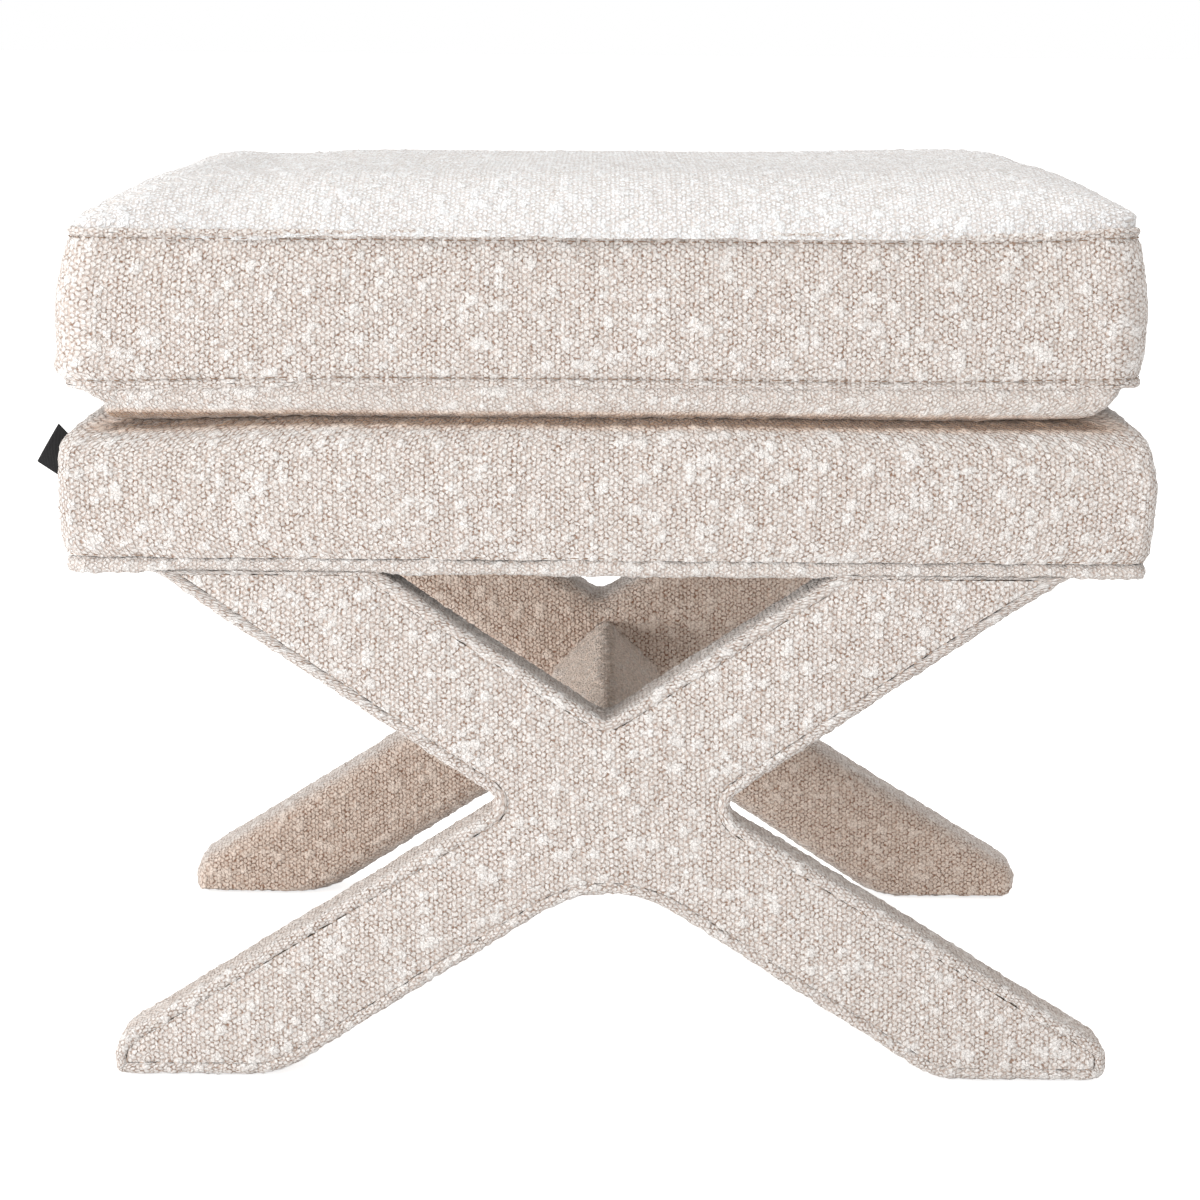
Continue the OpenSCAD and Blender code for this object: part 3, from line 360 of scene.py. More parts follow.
def boucle(name, pale=(0.765, 0.741, 0.722), deep=(0.25, 0.15, 0.10), white=(0.845, 0.832, 0.82),
           pitch=LOOP_PITCH, gaps=1.0, fuzz=1.0, swirl=0.0):
    """Looped fabric: columns of round loops, painted darker at their rims, brown gaps between them that are part the
    cloth's own colour and part painted shadow, pale slubs that cover them, and painted shade in folds.
    """
    m = Nodes(name)
    uv = m.add("ShaderNodeUVMap", uv_map="weave").outputs[0]
    warp = m.noise(uv, 290.0, 1.0, 0.5, "2D", output="Color")
    bent = m.add("ShaderNodeVectorMath", {0: warp, 1: (0.0027, 0.0027, 0.0), 2: uv}, operation="MULTIPLY_ADD")
    bent = m.add("ShaderNodeSeparateXYZ", {0: bent.outputs[0]})
    # Loops of neighbouring columns stand half a step apart: 3 in the middle of a loop, -1.5 where three meet
    scale = 1000.0 / pitch
    across = m.math("COSINE", m.math("MULTIPLY", bent.outputs[0], math.pi * scale))
    upward = m.math("COSINE", m.math("MULTIPLY", bent.outputs[1], 2 * math.pi * scale / LOOP_RISE))
    loops = m.line(m.math("MULTIPLY", across, m.math("ADD", across, upward)), 2.0, -1.0)
    loops = m.math("ADD", loops, m.line(m.noise(uv, 330.0, 1.0, 0.5, "2D"), 1.3, -0.65))
    _, tone, _ = m.cells(uv, scale)
    # Fuzz drifts over the gaps in soft patches, and faint columns of deeper gaps run up the cloth
    veil = m.ramp(m.noise(uv, 90.0, 3.0, 0.6, "2D"), 0.38, 0.62)
    narrow = m.add("ShaderNodeMapping", {0: uv, "Scale": (1.0, 0.14, 1.0)})
    column = m.ramp(m.noise(narrow.outputs[0], 210.0, 1.0, 0.5, "2D"), 0.56, 0.72)
    # Slubs lie over many loops, and small knots over one or two
    ragged = m.ramp(m.noise(uv, 330.0, 2.0, 0.6, "2D"), 0.30, 0.62, 0.5, 1.5)
    slub = m.ramp(m.math("MULTIPLY", m.attribute("slub"), ragged), 0.10, 0.75)
    far, _, chosen = m.cells(uv, scale * 0.7)
    knot = m.math("MULTIPLY", m.ramp(far, 0.70, 0.10), m.ramp(chosen, 0.87, 0.91))
    cover = m.math("MAXIMUM", slub, knot)
    # Gaps are thin between two loops and deeper where three meet; their brown is part the cloth's own colour and
    # part painted shadow between the loops
    thin = m.math("MULTIPLY", veil, m.line(column, -0.8, 1.0))
    gap = m.ramp(loops, -0.70, -1.28)
    broken = m.ramp(m.noise(uv, 420.0, 1.0, 0.5, "2D"), 0.36, 0.60, 0.35, 1.0)
    for factor in (broken, m.line(thin, -0.45, 1.0), m.line(cover, -0.72, 1.0)):
        gap = m.math("MULTIPLY", gap, factor)
    # Painted shade in folds and on inner faces also makes the brown gaps stronger
    painted_shade = m.attribute("painted_shade")
    gap = m.math("MULTIPLY", gap, m.line(m.ramp(painted_shade, 0.0, 0.5), 0.3 * gaps, 1.03 * gaps), clamp=True)
    # Each loop is painted palest in its middle and darker and warmer toward its rim, painted shade of its round
    # shape, and has a tone of its own
    dome = m.ramp(loops, -1.1, 0.6)
    body = m.mix(dome, scaled(pale, (0.94, 0.88, 0.85)), scaled(pale, 1.02))
    body = m.times(body, m.mix(tone, (0.85, 0.82, 0.80), (1.0, 1.0, 1.0)))
    body = m.mix(m.math("MULTIPLY", cover, 0.75), body, white)
    hair = m.noise(uv, 480.0 if swirl else 1000.0, 2.0, 0.75, "2D", swirl)
    shade = tuple(1.0 - c * fuzz for c in (0.18, 0.19, 0.20))
    body = m.times(body, m.mix(m.ramp(hair, 0.34, 0.66), shade, (1.06, 1.06, 1.06)))
    # Painted shade: in deep folds and on inner faces the colour is painted browner, and darkest where the painted
    # shade is strongest
    painted_shade_hue = m.mix(m.ramp(painted_shade, 0.0, 0.5), (1.0, 1.0, 1.0), (1.0, 0.87, 0.775))
    painted_shade_hue = m.mix(m.ramp(painted_shade, 0.5, 1.0), painted_shade_hue, (0.47, 0.32, 0.22))
    m.surface(m.times(m.mix(gap, body, deep), painted_shade_hue), 0.95, 0.12, 0.5)
    m.bsdf.inputs["Sheen Roughness"].default_value = 0.6
    m.bsdf.inputs["Sheen Tint"].default_value = (1.0, 0.985, 0.965, 1.0)
    height = m.math("MULTIPLY_ADD", dome, 0.4, m.math("MULTIPLY", hair, 0.25 * fuzz))
    height = m.math("MULTIPLY_ADD", cover, 0.35, height)
    m.bump(m.math("MULTIPLY_ADD", gap, -0.3, height), 0.0012)
    return m.mat


def woven(name, colour, pitch, depth, dark, roughness=0.9, ends=(0.9, 1.1), sheen=0.1):
    """Plain weave of threads in two directions, on the object's own axes."""
    m = Nodes(name)
    co = m.object_axes()
    x, y, z = m.add("ShaderNodeSeparateXYZ", {0: co}).outputs
    per_metre = math.pi * 1000.0 / pitch
    a, b = (m.math("SINE", m.math("MULTIPLY", m.math("ADD", side, z), per_metre)) for side in (x, y))
    height = m.line(m.math("MULTIPLY", a, b), 0.5, 0.5)
    uneven = m.noise(co, 260.0, 3.0, 0.6)
    body = m.mix(uneven, scaled(colour, ends[0]), scaled(colour, ends[1]))
    body = m.mix(m.ramp(height, 0.0, 0.5, 1.0 - dark, 0.0), body, scaled(colour, dark))
    m.surface(body, roughness, 0.2, sheen)
    m.bump(m.math("ADD", height, uneven), depth)
    return m.mat


def timber(name, seed):
    m = Nodes(name)
    along = m.add("ShaderNodeMapping", {0: m.object_axes(), "Location": (seed * 0.31, seed * 0.17, 0),
                                        "Scale": (3.0, 40.0, 40.0)}).outputs[0]
    rings = m.noise(along, 3.0, 4.0, 0.6)
    pores = m.noise(along, 24.0, 2.0, 0.5)
    m.surface(m.mix(rings, (0.52, 0.34, 0.18), (0.76, 0.58, 0.38)), m.ramp(pores, 0.3, 0.7, 0.55, 0.75), 0.3)
    m.bump(m.math("ADD", rings, pores), 0.0003)
    return m.mat


def metal(name, colour, roughness=0.32):
    m = Nodes(name)
    fine = m.noise(m.object_axes(), 900.0, 3.0, 0.6)
    m.surface(m.mix(fine, scaled(colour, 0.9), colour), m.ramp(fine, 0.3, 0.7, roughness - 0.06, roughness + 0.06))
    m.bump(fine, 0.00002)
    m.bsdf.inputs["Metallic"].default_value = 1.0
    return m.mat


def plain_cloth(name, colour, grain, depth, roughness=0.95, sheen=0.2, vary=0.12):
    m = Nodes(name)
    co = m.object_axes()
    fine = m.noise(co, grain, 4.0, 0.65)
    coarse = m.noise(co, grain / 14, 2.0, 0.5)
    mixed = m.math("MULTIPLY_ADD", coarse, 0.5, m.math("MULTIPLY", fine, 0.5))
    m.surface(m.mix(mixed, scaled(colour, 1 - vary), scaled(colour, 1 + vary)), roughness, 0.2, sheen)
    m.bump(fine, depth)
    return m.mat


# Painted light: the cushion's top is a paler, cooler white copy of the cloth with lighter, shallower gaps, for the
# overhead lamp's light
boucle_lit_top = boucle("boucle_lit_top", pale=(0.84, 0.868, 0.895), deep=(0.46, 0.41, 0.37), white=(0.85, 0.87, 0.89),
                    gaps=0.65)
boucle_side = boucle("boucle_side")
boucle_frame = boucle("boucle_frame")
boucle_under = boucle("boucle_under", pitch=2.3, gaps=0.6)
# Painted light: the stretcher's cloth is paler than the rest, standing in for light that hardly reaches under the
# seat
boucle_bar = boucle("boucle_bar", pitch=2.0, gaps=0.2, fuzz=2.4, pale=(0.92, 0.865, 0.815), swirl=1.2)
# Painted shadow: the dark brown thread colours dashes that stand for the shadow in the seam grooves
thread = plain_cloth("seam_shadow_thread", (0.27, 0.18, 0.125), 3000.0, 0.0001)
pale_thread = plain_cloth("pale_thread", (0.50, 0.37, 0.29), 3000.0, 0.0001)


# Cushion
SPREAD = 0.62  # how much rounder the cushion's corners grow per millimetre inward
TUCK = 2.6  # the top seam's ends lie this far inside the bottom seam's
SWELL = 5.5  # the boxing swells out this far half way up
SEAM = 1.6  # from a seam's middle to the edge of the boxing
RIM = 0.6  # from the seam to the edge of the top panel
RIGHT_UP, LEFT_DOWN, CORNER_UP = 2.4, 2.8, 4.0  # how far the seams leave the level at the ends
CH, CD = CUSH_W / 2, CUSH_D / 2
cushion_ring = Stations(CUSH_W, CUSH_D, CUSH_R, CUSH_X, (0, 3, 3, 3))


def left_end(x):
    """From 0 at the middle to 1 at the left end, where cushion and seat sit a little lower."""
    return smooth(150, 300, -x)


def tilt(x, left_down=LEFT_DOWN):
    """Lift of the bottom seam: up at the right end, down at the left one."""
    return RIGHT_UP * smooth(170, 300, x) - left_down * left_end(x)


# Lift of the top seam at the corners of the right end
corner_up = CORNER_UP * smooth(-0.2, 0.9, cushion_ring.ring(1.0, 1.0, 0.1)[:, 0])
corner_up = corner_up * np.where(cushion_ring.on_side == 1, np.abs(2 * cushion_ring.t - 1) ** 6, 1.0)


def boxing_rows(levels):
    rows = []
    for z in levels:
        a = min(max((z - LOW_SEAM) / (TOP_SEAM - LOW_SEAM), 0.0), 1.0)
        swell = math.sqrt(max(math.sin(math.pi * a), 0.0)) * float(smooth(0.0, 0.075, min(a, 1 - a)))
        out = SWELL * swell
        row = cushion_ring.ring3(-out, CUSH_R + out, z, -TUCK * float(smooth(0.5, 1.0, a)))
        # The left end bulges more, most of all low down
        low = 3.4 * math.exp(-((a - 0.11) / 0.09) ** 2)
        row[:, 0] -= ((3.3 - 2.6 * a) * swell + low) * np.clip(-row[:, 0] / CH, 0, 1) ** 4
        row[:, 2] += corner_up * max(2 * a - 1, 0) ** 2 + (1 - a) * tilt(row[:, 0])
        rows.append(row)
    return np.array(rows)


def eased(a, b, n):
    """n heights from a to b, closer together at both ends."""
    t = np.linspace(0, 1, n)
    t = 0.75 * t + 0.25 * (0.5 - 0.5 * np.cos(np.pi * t))
    return a + (b - a) * t


box_low, box_high = LOW_SEAM + SEAM, TOP_SEAM - SEAM
box_rows = boxing_rows(eased(box_low, box_high, round((TOP_SEAM - LOW_SEAM) / STEP)))
box_uv = cushion_ring.ring_uv(box_rows)
# Puckers run down from the top seam and up from the bottom one
near_top = np.exp(-(TOP_SEAM - box_rows[..., 2]) / 9.0)
near_low = np.exp(-(box_rows[..., 2] - LOW_SEAM) / 9.0)
pucker = 0.7 * cushion_ring.ripple(11.0, 5) * near_top + 0.5 * cushion_ring.ripple(14.0, 6) * near_low
box_rows = box_rows + normals(box_rows, True) * pucker[..., None]

# The zip's two strips are the rear side, and the boxing is the rest
first_rear, last_rear = np.flatnonzero((cushion_ring.q == 0) & (cushion_ring.on_side == 1))[[0, -1]]
count = cushion_ring.n
front_cols = np.arange(last_rear + 1, count + first_rear + 1)
wrapped_uv = np.concatenate([box_uv[:, :-1], box_uv[:, :-1] + [cushion_ring.u[-1], 0]], 1)
boxing = grid_piece("cushion_boxing_cloth", box_rows[:, front_cols % count], wrapped_uv[:, front_cols],
                    boucle_side, 21, body="cushion")
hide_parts("cushion_boxing")

rear_cols = np.arange(first_rear, last_rear + 2) % count
SHUT_FROM, SHUT_TO = 253.5, 262  # past the ends of the zip the two strips meet
SLIDER_GAP = 0.6  # the upper strip keeps further off, clear of the slider
for tag, z1, z2, seed in (("upper", ZIP_Z + ZIP_GAP / 2, box_high, 23), ("lower", box_low, ZIP_Z - ZIP_GAP / 2, 25)):
    upper = tag == "upper"
    levels = eased(z1, z2, round((z2 - z1) / STEP))
    rows = boxing_rows(levels)[:, rear_cols]
    # The seams tilt and the zip runs level
    by_zip = ((z2 - levels) if upper else (levels - z1))[:, None] / (z2 - z1)
    tilted = (TOP_SEAM - levels)[:, None] / (TOP_SEAM - LOW_SEAM) * tilt(rows[..., 0])
    shut = ZIP_GAP / 2 * smooth(SHUT_FROM, SHUT_TO, np.abs(rows[..., 0] - CUSH_X))
    rows[..., 2] -= by_zip * (tilted + (shut - SLIDER_GAP if upper else -shut))
    # The edge beside the zip is folded in
    fold = []
    for k in range(1, 5):
        edge = rows[0 if upper else -1].copy()
        edge[:, 1] -= 2.6 * (1 - math.cos(math.pi / 8 * k)) + (1.5 if k == 4 else 0)
        edge[:, 2] += (-0.7 if upper else 0.7) * math.sin(math.pi / 8 * k)
        fold.append(edge)
    rows = np.concatenate([fold[::-1], rows] if upper else [rows, fold])
    uv = pairs(np.arange(rows.shape[1]) * STEP, lengths(rows[:, 5]))
    strip = grid_piece(f"zip_strip_{tag}_cloth", rows, uv, boucle_side, seed, amount=0.7, body="cushion")
    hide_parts(f"zip_strip_{tag}")

# Top panel. Its ends rise sooner than the front and the rear, and the right end soonest.
gx, gy = rounded_grid(CH - RIM, CD - RIM, CUSH_R, STEP)
right, left = gx / CH, -gx / CH
from_end = np.maximum(CH - (CH - np.abs(gx)) * np.where(gx > 0, 1.42, 1.14), 0)
w = np.maximum(inward(from_end, gy, CH, CD, CUSH_R, SPREAD), 0)
w = np.minimum(w, 2.5 * np.maximum(inward(gx, gy, CH - RIM, CD - RIM, CUSH_R, SPREAD), 0))
# The seam draws in between the corners, apart from the rear, as it does in the boxing
to_end, to_side = np.clip(np.abs(gx) / (CH - CUSH_R), 0, 1), np.clip(np.abs(gy) / (CD - CUSH_R), 0, 1)
pull_x = 3.0 * (1 - to_side**2) * np.sign(gx) * smooth(0.6, 1.0, np.abs(right))
pull_y = np.where(gy > 0, 0.0, 3.0) * (1 - to_end**2) * smooth(0.6, 1.0, np.abs(gy) / CD)
bx, by = (gx - pull_x) * (CH - TUCK) / CH, gy - pull_y
bx += (2.8 * smooth(0.93, 0.99, right) - 1.6 * smooth(0.93, 0.99, left)) * (w / 2.5) * np.exp(1 - w / 2.5)
lift = CORNER_UP * smooth(0.0, 0.9, right) * to_end**6 * to_side**6
# Both ends stand up steeply from the seam, and the left end dips before the middle
steep = 8.0 * smooth(0.35, 0.95, right) * (1 - np.exp(-w / 3.3)) * np.exp(-w / 40.0)
steep += 5.0 * smooth(0.45, 0.95, left) * (1 - np.exp(-w / 2.8)) * np.exp(-w / 32.0)
rim_up = 3.0 * smooth(0.5, 0.95, right) + 2.0 * smooth(0.5, 0.95, left)
steep += rim_up * (1 - np.exp(-w / 0.9)) * np.exp(-w / 14.0)
steep -= 3.4 * np.exp(-((gx + CH - 92) / 34) ** 2)
crown = (CROWN + 1.8 + 1.2 * np.clip(right, -1, 1)) * (1 - np.clip(1 - w / 82.0, 0, 1) ** 2.15)
gz = TOP_SEAM - 0.5 + crown + lift * np.exp(-w / 40) + steep
by_seam = np.exp(-w / 10.0)
gz += 0.7 * flat_noise(gx, gy, 12.0, 7) * by_seam
gz += 1.0 * flat_noise(gx, gy, 110.0, 8) * (1 - by_seam)
# The weave is not stretched where the rim stands up
nearer_end = smooth(6, -6, (CH - np.abs(gx)) - (CD - np.abs(gy)))
along_rim = 2.0 + 7.5 * smooth(0.4, 0.95, right) + 4.5 * smooth(0.4, 0.95, left)
along_rim = along_rim * (1 - np.exp(-w / 2.6))
uv = np.stack([gx + 17.3 - np.sign(gx) * nearer_end * along_rim,
               gy + 11.9 - np.sign(gy) * (1 - nearer_end) * along_rim], -1)
top = grid_piece("cushion_top_cloth", np.stack([bx + CUSH_X, by, gz], -1), uv, boucle_lit_top, 31, body="cushion")
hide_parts("cushion_top_panel", "cushion_top_fibre", "cushion_core", "cushion_bottom_fibre")


def curve(points, n):
    """n points at even steps on a smooth curve through the given ones."""
    p = np.array(points, float)
    q = np.concatenate([[2 * p[0] - p[1]], p, [2 * p[-1] - p[-2]]])
    t = np.linspace(0, 1, 12, endpoint=False)[:, None]
    fine = [0.5 * (2 * b + (c - a) * t + (2 * a - 5 * b + 4 * c - d) * t**2 + (3 * b - a - 3 * c + d) * t**3)
            for a, b, c, d in zip(q, q[1:], q[2:], q[3:])]
    fine = np.concatenate(fine + [p[-1:]])
    way = lengths(fine)
    even = np.linspace(0, way[-1], n)
    return np.stack([np.interp(even, way, fine[:, k]) for k in range(2)], -1)


# Under side, by inset and height: it rolls over the seat's shoulder at the front and rear, less so at its ends
ROLL_LENGTH, ROLL_END = 66, 42
long_side, short_side = (curve([(0.6, 400.6), *points, (ROLL_END, 386.4)], round(ROLL_LENGTH / STEP)) for points in (
    [(-0.9, 395.5), (-0.3, 389.5), (3.4, 383.6), (8.5, 381.3), (14.5, 382.4), (21, 384.6), (29, 386.0)],
    [(4.5, 399.2), (10, 397.2), (15, 393.8), (19.5, 390.4), (24, 388.0), (30, 386.8), (36, 386.4)]))
share = cushion_ring.facing()
insets, heights = (share * long_side[:, k:k + 1] + (1 - share) * short_side[:, k:k + 1] for k in (0, 1))
rows = cushion_ring.inset_rows(SPREAD, insets, heights)
rows[..., 2] += tilt(rows[..., 0], 3.0) * smooth(ROLL_END, 12, insets)
low_left = smooth(255, 290, -rows[..., 0]) * np.exp(-((rows[..., 2] - 388.5) / 4.0) ** 2)
rows[..., 0] += 5.0 * low_left * smooth(ROLL_END, 30, insets)
roll_uv = cushion_ring.ring_uv(rows)
pucker = 0.6 * cushion_ring.ripple(13.0, 9) * np.exp(-np.abs(insets) / 9)
rows = rows - normals(rows, True) * pucker[..., None]
# Painted shade: along the front and rear, the roll's underside is painted browner and darker toward the crease on
# the seat, darkest lowest down
painted_shade = 0.4 * smooth(388, 383, rows[..., 2]) + 0.6 * smooth(385.5, 382.4, rows[..., 2])
painted_shade = share * painted_shade * smooth(34, 24, insets)
under_roll = grid_piece("cushion_under_roll", rows, roll_uv, boucle_under, 33, -1, True, 0.8, "cushion", painted_shade)
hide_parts("cushion_bottom_panel")
inn = ROLL_END - 1.0
gx, gy = rounded_grid(CH - inn, CD - inn, CUSH_R + SPREAD * inn, STEP * 1.5)
p = np.stack([gx + CUSH_X, gy, np.full(gx.shape, 386.6)], -1)
under_mid = grid_piece("cushion_under_cloth", p, np.stack([gx, gy], -1), boucle_side, 35, -1, False, 0.5, "cushion")


def welt(name, centre, out_dir, seed):
    """Roll of fabric along a seam of the cushion."""
    radius, around = 2.4, 12
    rad = radius * (1 + 0.10 * cushion_ring.ripple(4.5, seed))
    rows = np.stack([centre + out_dir * (c * rad)[:, None] + np.array([0, 0, 1.0]) * (s * rad)[:, None]
                     for c, s in zip(*circle(around))])
    uv = pairs(cushion_ring.u, np.arange(around + 1) * (2 * np.pi * radius / around))
    return grid_piece(name, closed(rows), uv, boucle_side, seed, 1, True, 0.8, "cushion")


def outward(path):
    """Level direction out of a closed path at each of its points."""
    return unit(np.cross(np.roll(path, -1, 0) - np.roll(path, 1, 0), [0, 0, 1.0]))


def stitches(name, path, out, body, length=4.6, space=3.0, radius=0.36, mat=thread):
    """Row of short threads that follow a closed path, of uneven lengths."""
    path, out = closed(path), closed(out)
    way = lengths(path)
    starts = np.arange(0, way[-1] - length, length + space)
    # Along a thread: place, radius and height over the cloth
    thread_t = np.array([0.0, 0.12, 0.5, 0.88, 1.0])
    thread_r = np.array([0.15, 0.85, 1.0, 0.85, 0.15]) * radius
    thread_h = np.array([-0.35, 0.1, 0.25, 0.1, -0.35])
    rank = np.arange(len(starts))
    long = length * (0.55 + 0.75 * hashed(rank, rank * 3 + 1, 5, 77))
    at = starts[:, None] + thread_t * long[:, None]
    centre, up = (np.stack([np.interp(at, way, v[:, k]) for k in range(3)], -1) for v in (path, out))
    side = np.cross(unit(np.gradient(centre, axis=1)), up)
    centre = centre + up * thread_h[:, None]
    cos, sin = (v[:, None] for v in circle(6))
    ring = centre[:, :, None] + thread_r[:, None, None] * (up[:, :, None] * cos + side[:, :, None] * sin)
    one = grid_faces(len(thread_t), 6, True, True)
    faces = (one[None] + (rank * len(thread_t) * 6)[:, None, None]).reshape(-1, 4)
    ob = make_mesh(name, ring.reshape(-1, 3), faces, np.zeros((len(faces) * 4, 2)), mat, None, body)


centre = cushion_ring.ring3(0, CUSH_R, TOP_SEAM + corner_up, -TUCK)
out_dir = outward(centre)
top_welt = welt("cushion_top_welt_roll", centre, out_dir, 41)
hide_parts("cushion_top_welt")
# Painted shadow: dark dashes shaped as short threads stand for the top seam groove's shadow
stitches("top_seam_shadow_thread", centre + out_dir * 1.5 - [0, 0, 3.0], out_dir, "cushion")
centre = cushion_ring.ring3(0, CUSH_R, LOW_SEAM)
centre[:, 2] += tilt(centre[:, 0])
out_dir = outward(centre)
low_welt = welt("cushion_bottom_welt_roll", centre, out_dir, 43)
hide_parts("cushion_bottom_welt")
# Painted shadow: dark dashes shaped as short threads stand for the bottom seam groove's shadow
stitches("bottom_seam_shadow_thread", centre + out_dir * 1.5 + [0, 0, 2.9], out_dir, "cushion", radius=0.32)

# Zip: two coils that mesh, and the tapes behind them
CHAIN_Y = 225.35
COIL_PITCH, PER_TURN, WIRE_R = 1.55, 9, 0.27
zip_tape = woven("zip_tape_cloth", (0.62, 0.53, 0.45), 0.9, 0.0002, 0.75)
coil_mat = plain_cloth("zip_coil_nylon", (0.74, 0.67, 0.59), 2500.0, 0.00003, 0.45, 0.0, 0.05)
k = np.arange(int(2 * ZIP_L / COIL_PITCH) * PER_TURN + 1)
turn = 2 * np.pi * k / PER_TURN
for side, tag in ((1, "upper"), (-1, "lower")):
    x = -ZIP_L + k * COIL_PITCH / PER_TURN + (0.0 if side > 0 else COIL_PITCH / 2) + CUSH_X
    y = CHAIN_Y + 1.25 + 0.95 * np.sin(turn)
    z = ZIP_Z + side * (1.15 + 1.35 * np.cos(turn)) + side * 0.1
    wire = np.stack([x, y, z], -1)
    along = unit(np.gradient(wire, axis=0))
    ref = unit(np.cross(along, [1.0, 0, 0]))
    cos, sin = (v[:, None] for v in circle(5))
    ring = wire[:, None] + WIRE_R * (ref[:, None] * cos + np.cross(along, ref)[:, None] * sin)
    faces = grid_faces(len(k), 5, True)
    uv = np.zeros((len(faces) * 4, 2))
    coil = make_mesh(f"zip_coil_{tag}", ring.reshape(-1, 3), faces, uv, coil_mat, None, "cushion")
    if tag == "upper":
        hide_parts("zip_chain")
tape_l, tape_h = 2 * ZIP_L + 14, 13.7
cols, levels = 180, 7
tx, tz = np.meshgrid(np.linspace(-tape_l / 2, tape_l / 2, cols), np.linspace(0.5, 0.5 + tape_h, levels))
ty = CHAIN_Y - 0.4 + 0.1 * flat_noise(tx, tz, 26.0, 63)
sides = (1, -1)
verts = [np.stack([tx + CUSH_X, ty, ZIP_Z + s * tz], -1).reshape(-1, 3) for s in sides]
faces = [grid_faces(levels, cols, flip=s > 0) + (0 if s > 0 else cols * levels) for s in sides]
uvs = [grid_uvs(np.stack([tx, tz * s], -1), cols, flip=s > 0) for s in sides]
tapes = make_mesh("zip_tape_sheets", *(np.concatenate(v) for v in (verts, faces, uvs)), zip_tape, None, "cushion")
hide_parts("zip_tapes")

# Seat: walls that swell, a shoulder, and a flat rim under the cushion
SH, SD = SEAT_W / 2, SEAT_D / 2
SEAT_SPREAD = 0.7
SEAT_SWELL = 3.7
FLAT_FROM = 60  # inset at which the flat middle begins
seat_ring = Stations(SEAT_W, SEAT_D, SEAT_R, SEAT_X, arc=max(9, round(28 / STEP)))
share = seat_ring.facing()
wall_low, wall_high = SEAT_LOW + HEM - 0.6, SEAT_TOP - 24.0
wall = np.linspace(wall_low, wall_high, round((wall_high - wall_low) / STEP))
swell = np.interp((wall - wall_low) / (wall_high - wall_low), [0, 0.1, 0.35, 0.75, 1.0],
                  SEAT_SWELL * np.array([-0.2, 0.45, 0.85, 1.0, 0.9]))
insets = [np.full(seat_ring.n, -out) for out in swell]
heights = list(wall)
# The shoulder is broader along the front and the rear than at the ends
broad = 28 + 6 * share
shoulder_n = round(46 / STEP)
for k in range(1, shoulder_n):
    t = math.pi / 2 * k / shoulder_n
    insets.append((broad + 3.3) * (1 - math.cos(t)) - 3.3)
    heights.append(wall_high + 23.2 * math.sin(t))
for t in np.linspace(0, 1, round(30 / STEP))[1:]:
    insets.append(broad + (FLAT_FROM - broad) * t)
    heights.append(SEAT_TOP - 0.8 - 0.2 * t)
insets = np.array(insets)
rows = seat_ring.inset_rows(SEAT_SPREAD, insets, np.array(heights)[:, None])
rows[..., 0] -= 2.6 * smooth(250, 300, rows[..., 0]) * smooth(346, 368, rows[..., 2])
shoulder_down = smooth(wall_high - 20, wall_high + 20, rows[..., 2]) * smooth(FLAT_FROM, 30, insets)
rows[..., 2] -= 4.0 * left_end(rows[..., 0]) * shoulder_down
seat_uv = seat_ring.ring_uv(rows, 300.0)
pucker = 0.5 * seat_ring.ripple(13.0, 51) * np.exp(-(rows[..., 2] - wall_low) / 9.0)
rows = rows + normals(rows, True) * pucker[..., None]
# Painted shade: the crease under the cushion is painted browner and darker as far in as it can be seen
painted_shade = (0.5 * smooth(1.5, 7, insets) + 0.5 * smooth(4.5, 8.0, insets)) * smooth(32, 20, insets) * share
seat = grid_piece("seat_wall_cloth", rows, seat_uv, boucle_side, 53, 1, True, 1.0, "base", painted_shade)
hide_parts("seat_cover", "seat_side_padding", "seat_foam")
inn = FLAT_FROM - 1.0
gx, gy = rounded_grid(SH - inn, SD - inn, SEAT_R + SEAT_SPREAD * inn, STEP * 1.35)
p = np.stack([gx + SEAT_X, gy, np.full(gx.shape, SEAT_TOP - 1.15)], -1)
seat_top = grid_piece("seat_top_cloth", p, np.stack([gx, gy], -1), boucle_side, 55, amount=0.6)

# Hem roll, by inset and height over the seat's lower edge
roll_r = HEM / 2
turns = np.radians(np.linspace(-90, 90, 11))
section = [(roll_r - roll_r * math.cos(t), roll_r + roll_r * math.sin(t)) for t in turns]
section = [(8.6, 0.3), (6.0, 0.2), *section, (5.5, 7.8), (8.0, 7.6)]
rows = np.array([seat_ring.ring3(inn, max(SEAT_R - inn * 0.6, 3), SEAT_LOW + z) for inn, z in section])
# Between the frames' arms the roll hangs a little lower and fuller
far_x, far_y = np.abs(rows[..., 0]), np.abs(rows[..., 1])
on_arm = smooth(120, 135, far_x) * smooth(270, 255, far_x) * smooth(175, 185, far_y)
free = (1 - 0.4 * on_arm) * smooth(SEAT_LOW + HEM, SEAT_LOW, rows[..., 2])
rows[..., 2] -= 1.7 * free
rows[..., :2] += 0.9 * (rows[..., :2] / [SH, SD]) * free[..., None]
hem = grid_piece("seat_hem_roll", rows, seat_ring.ring_uv(rows), boucle_under, 57, 1, True, 1.15)
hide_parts("seat_hem")
line = seat_ring.ring3(1.0, SEAT_R, SEAT_LOW + HEM + 0.6)
# Painted shadow: dark dashes shaped as short threads stand for the hem groove's shadow
stitches("hem_shadow_thread", line, outward(line), "base")

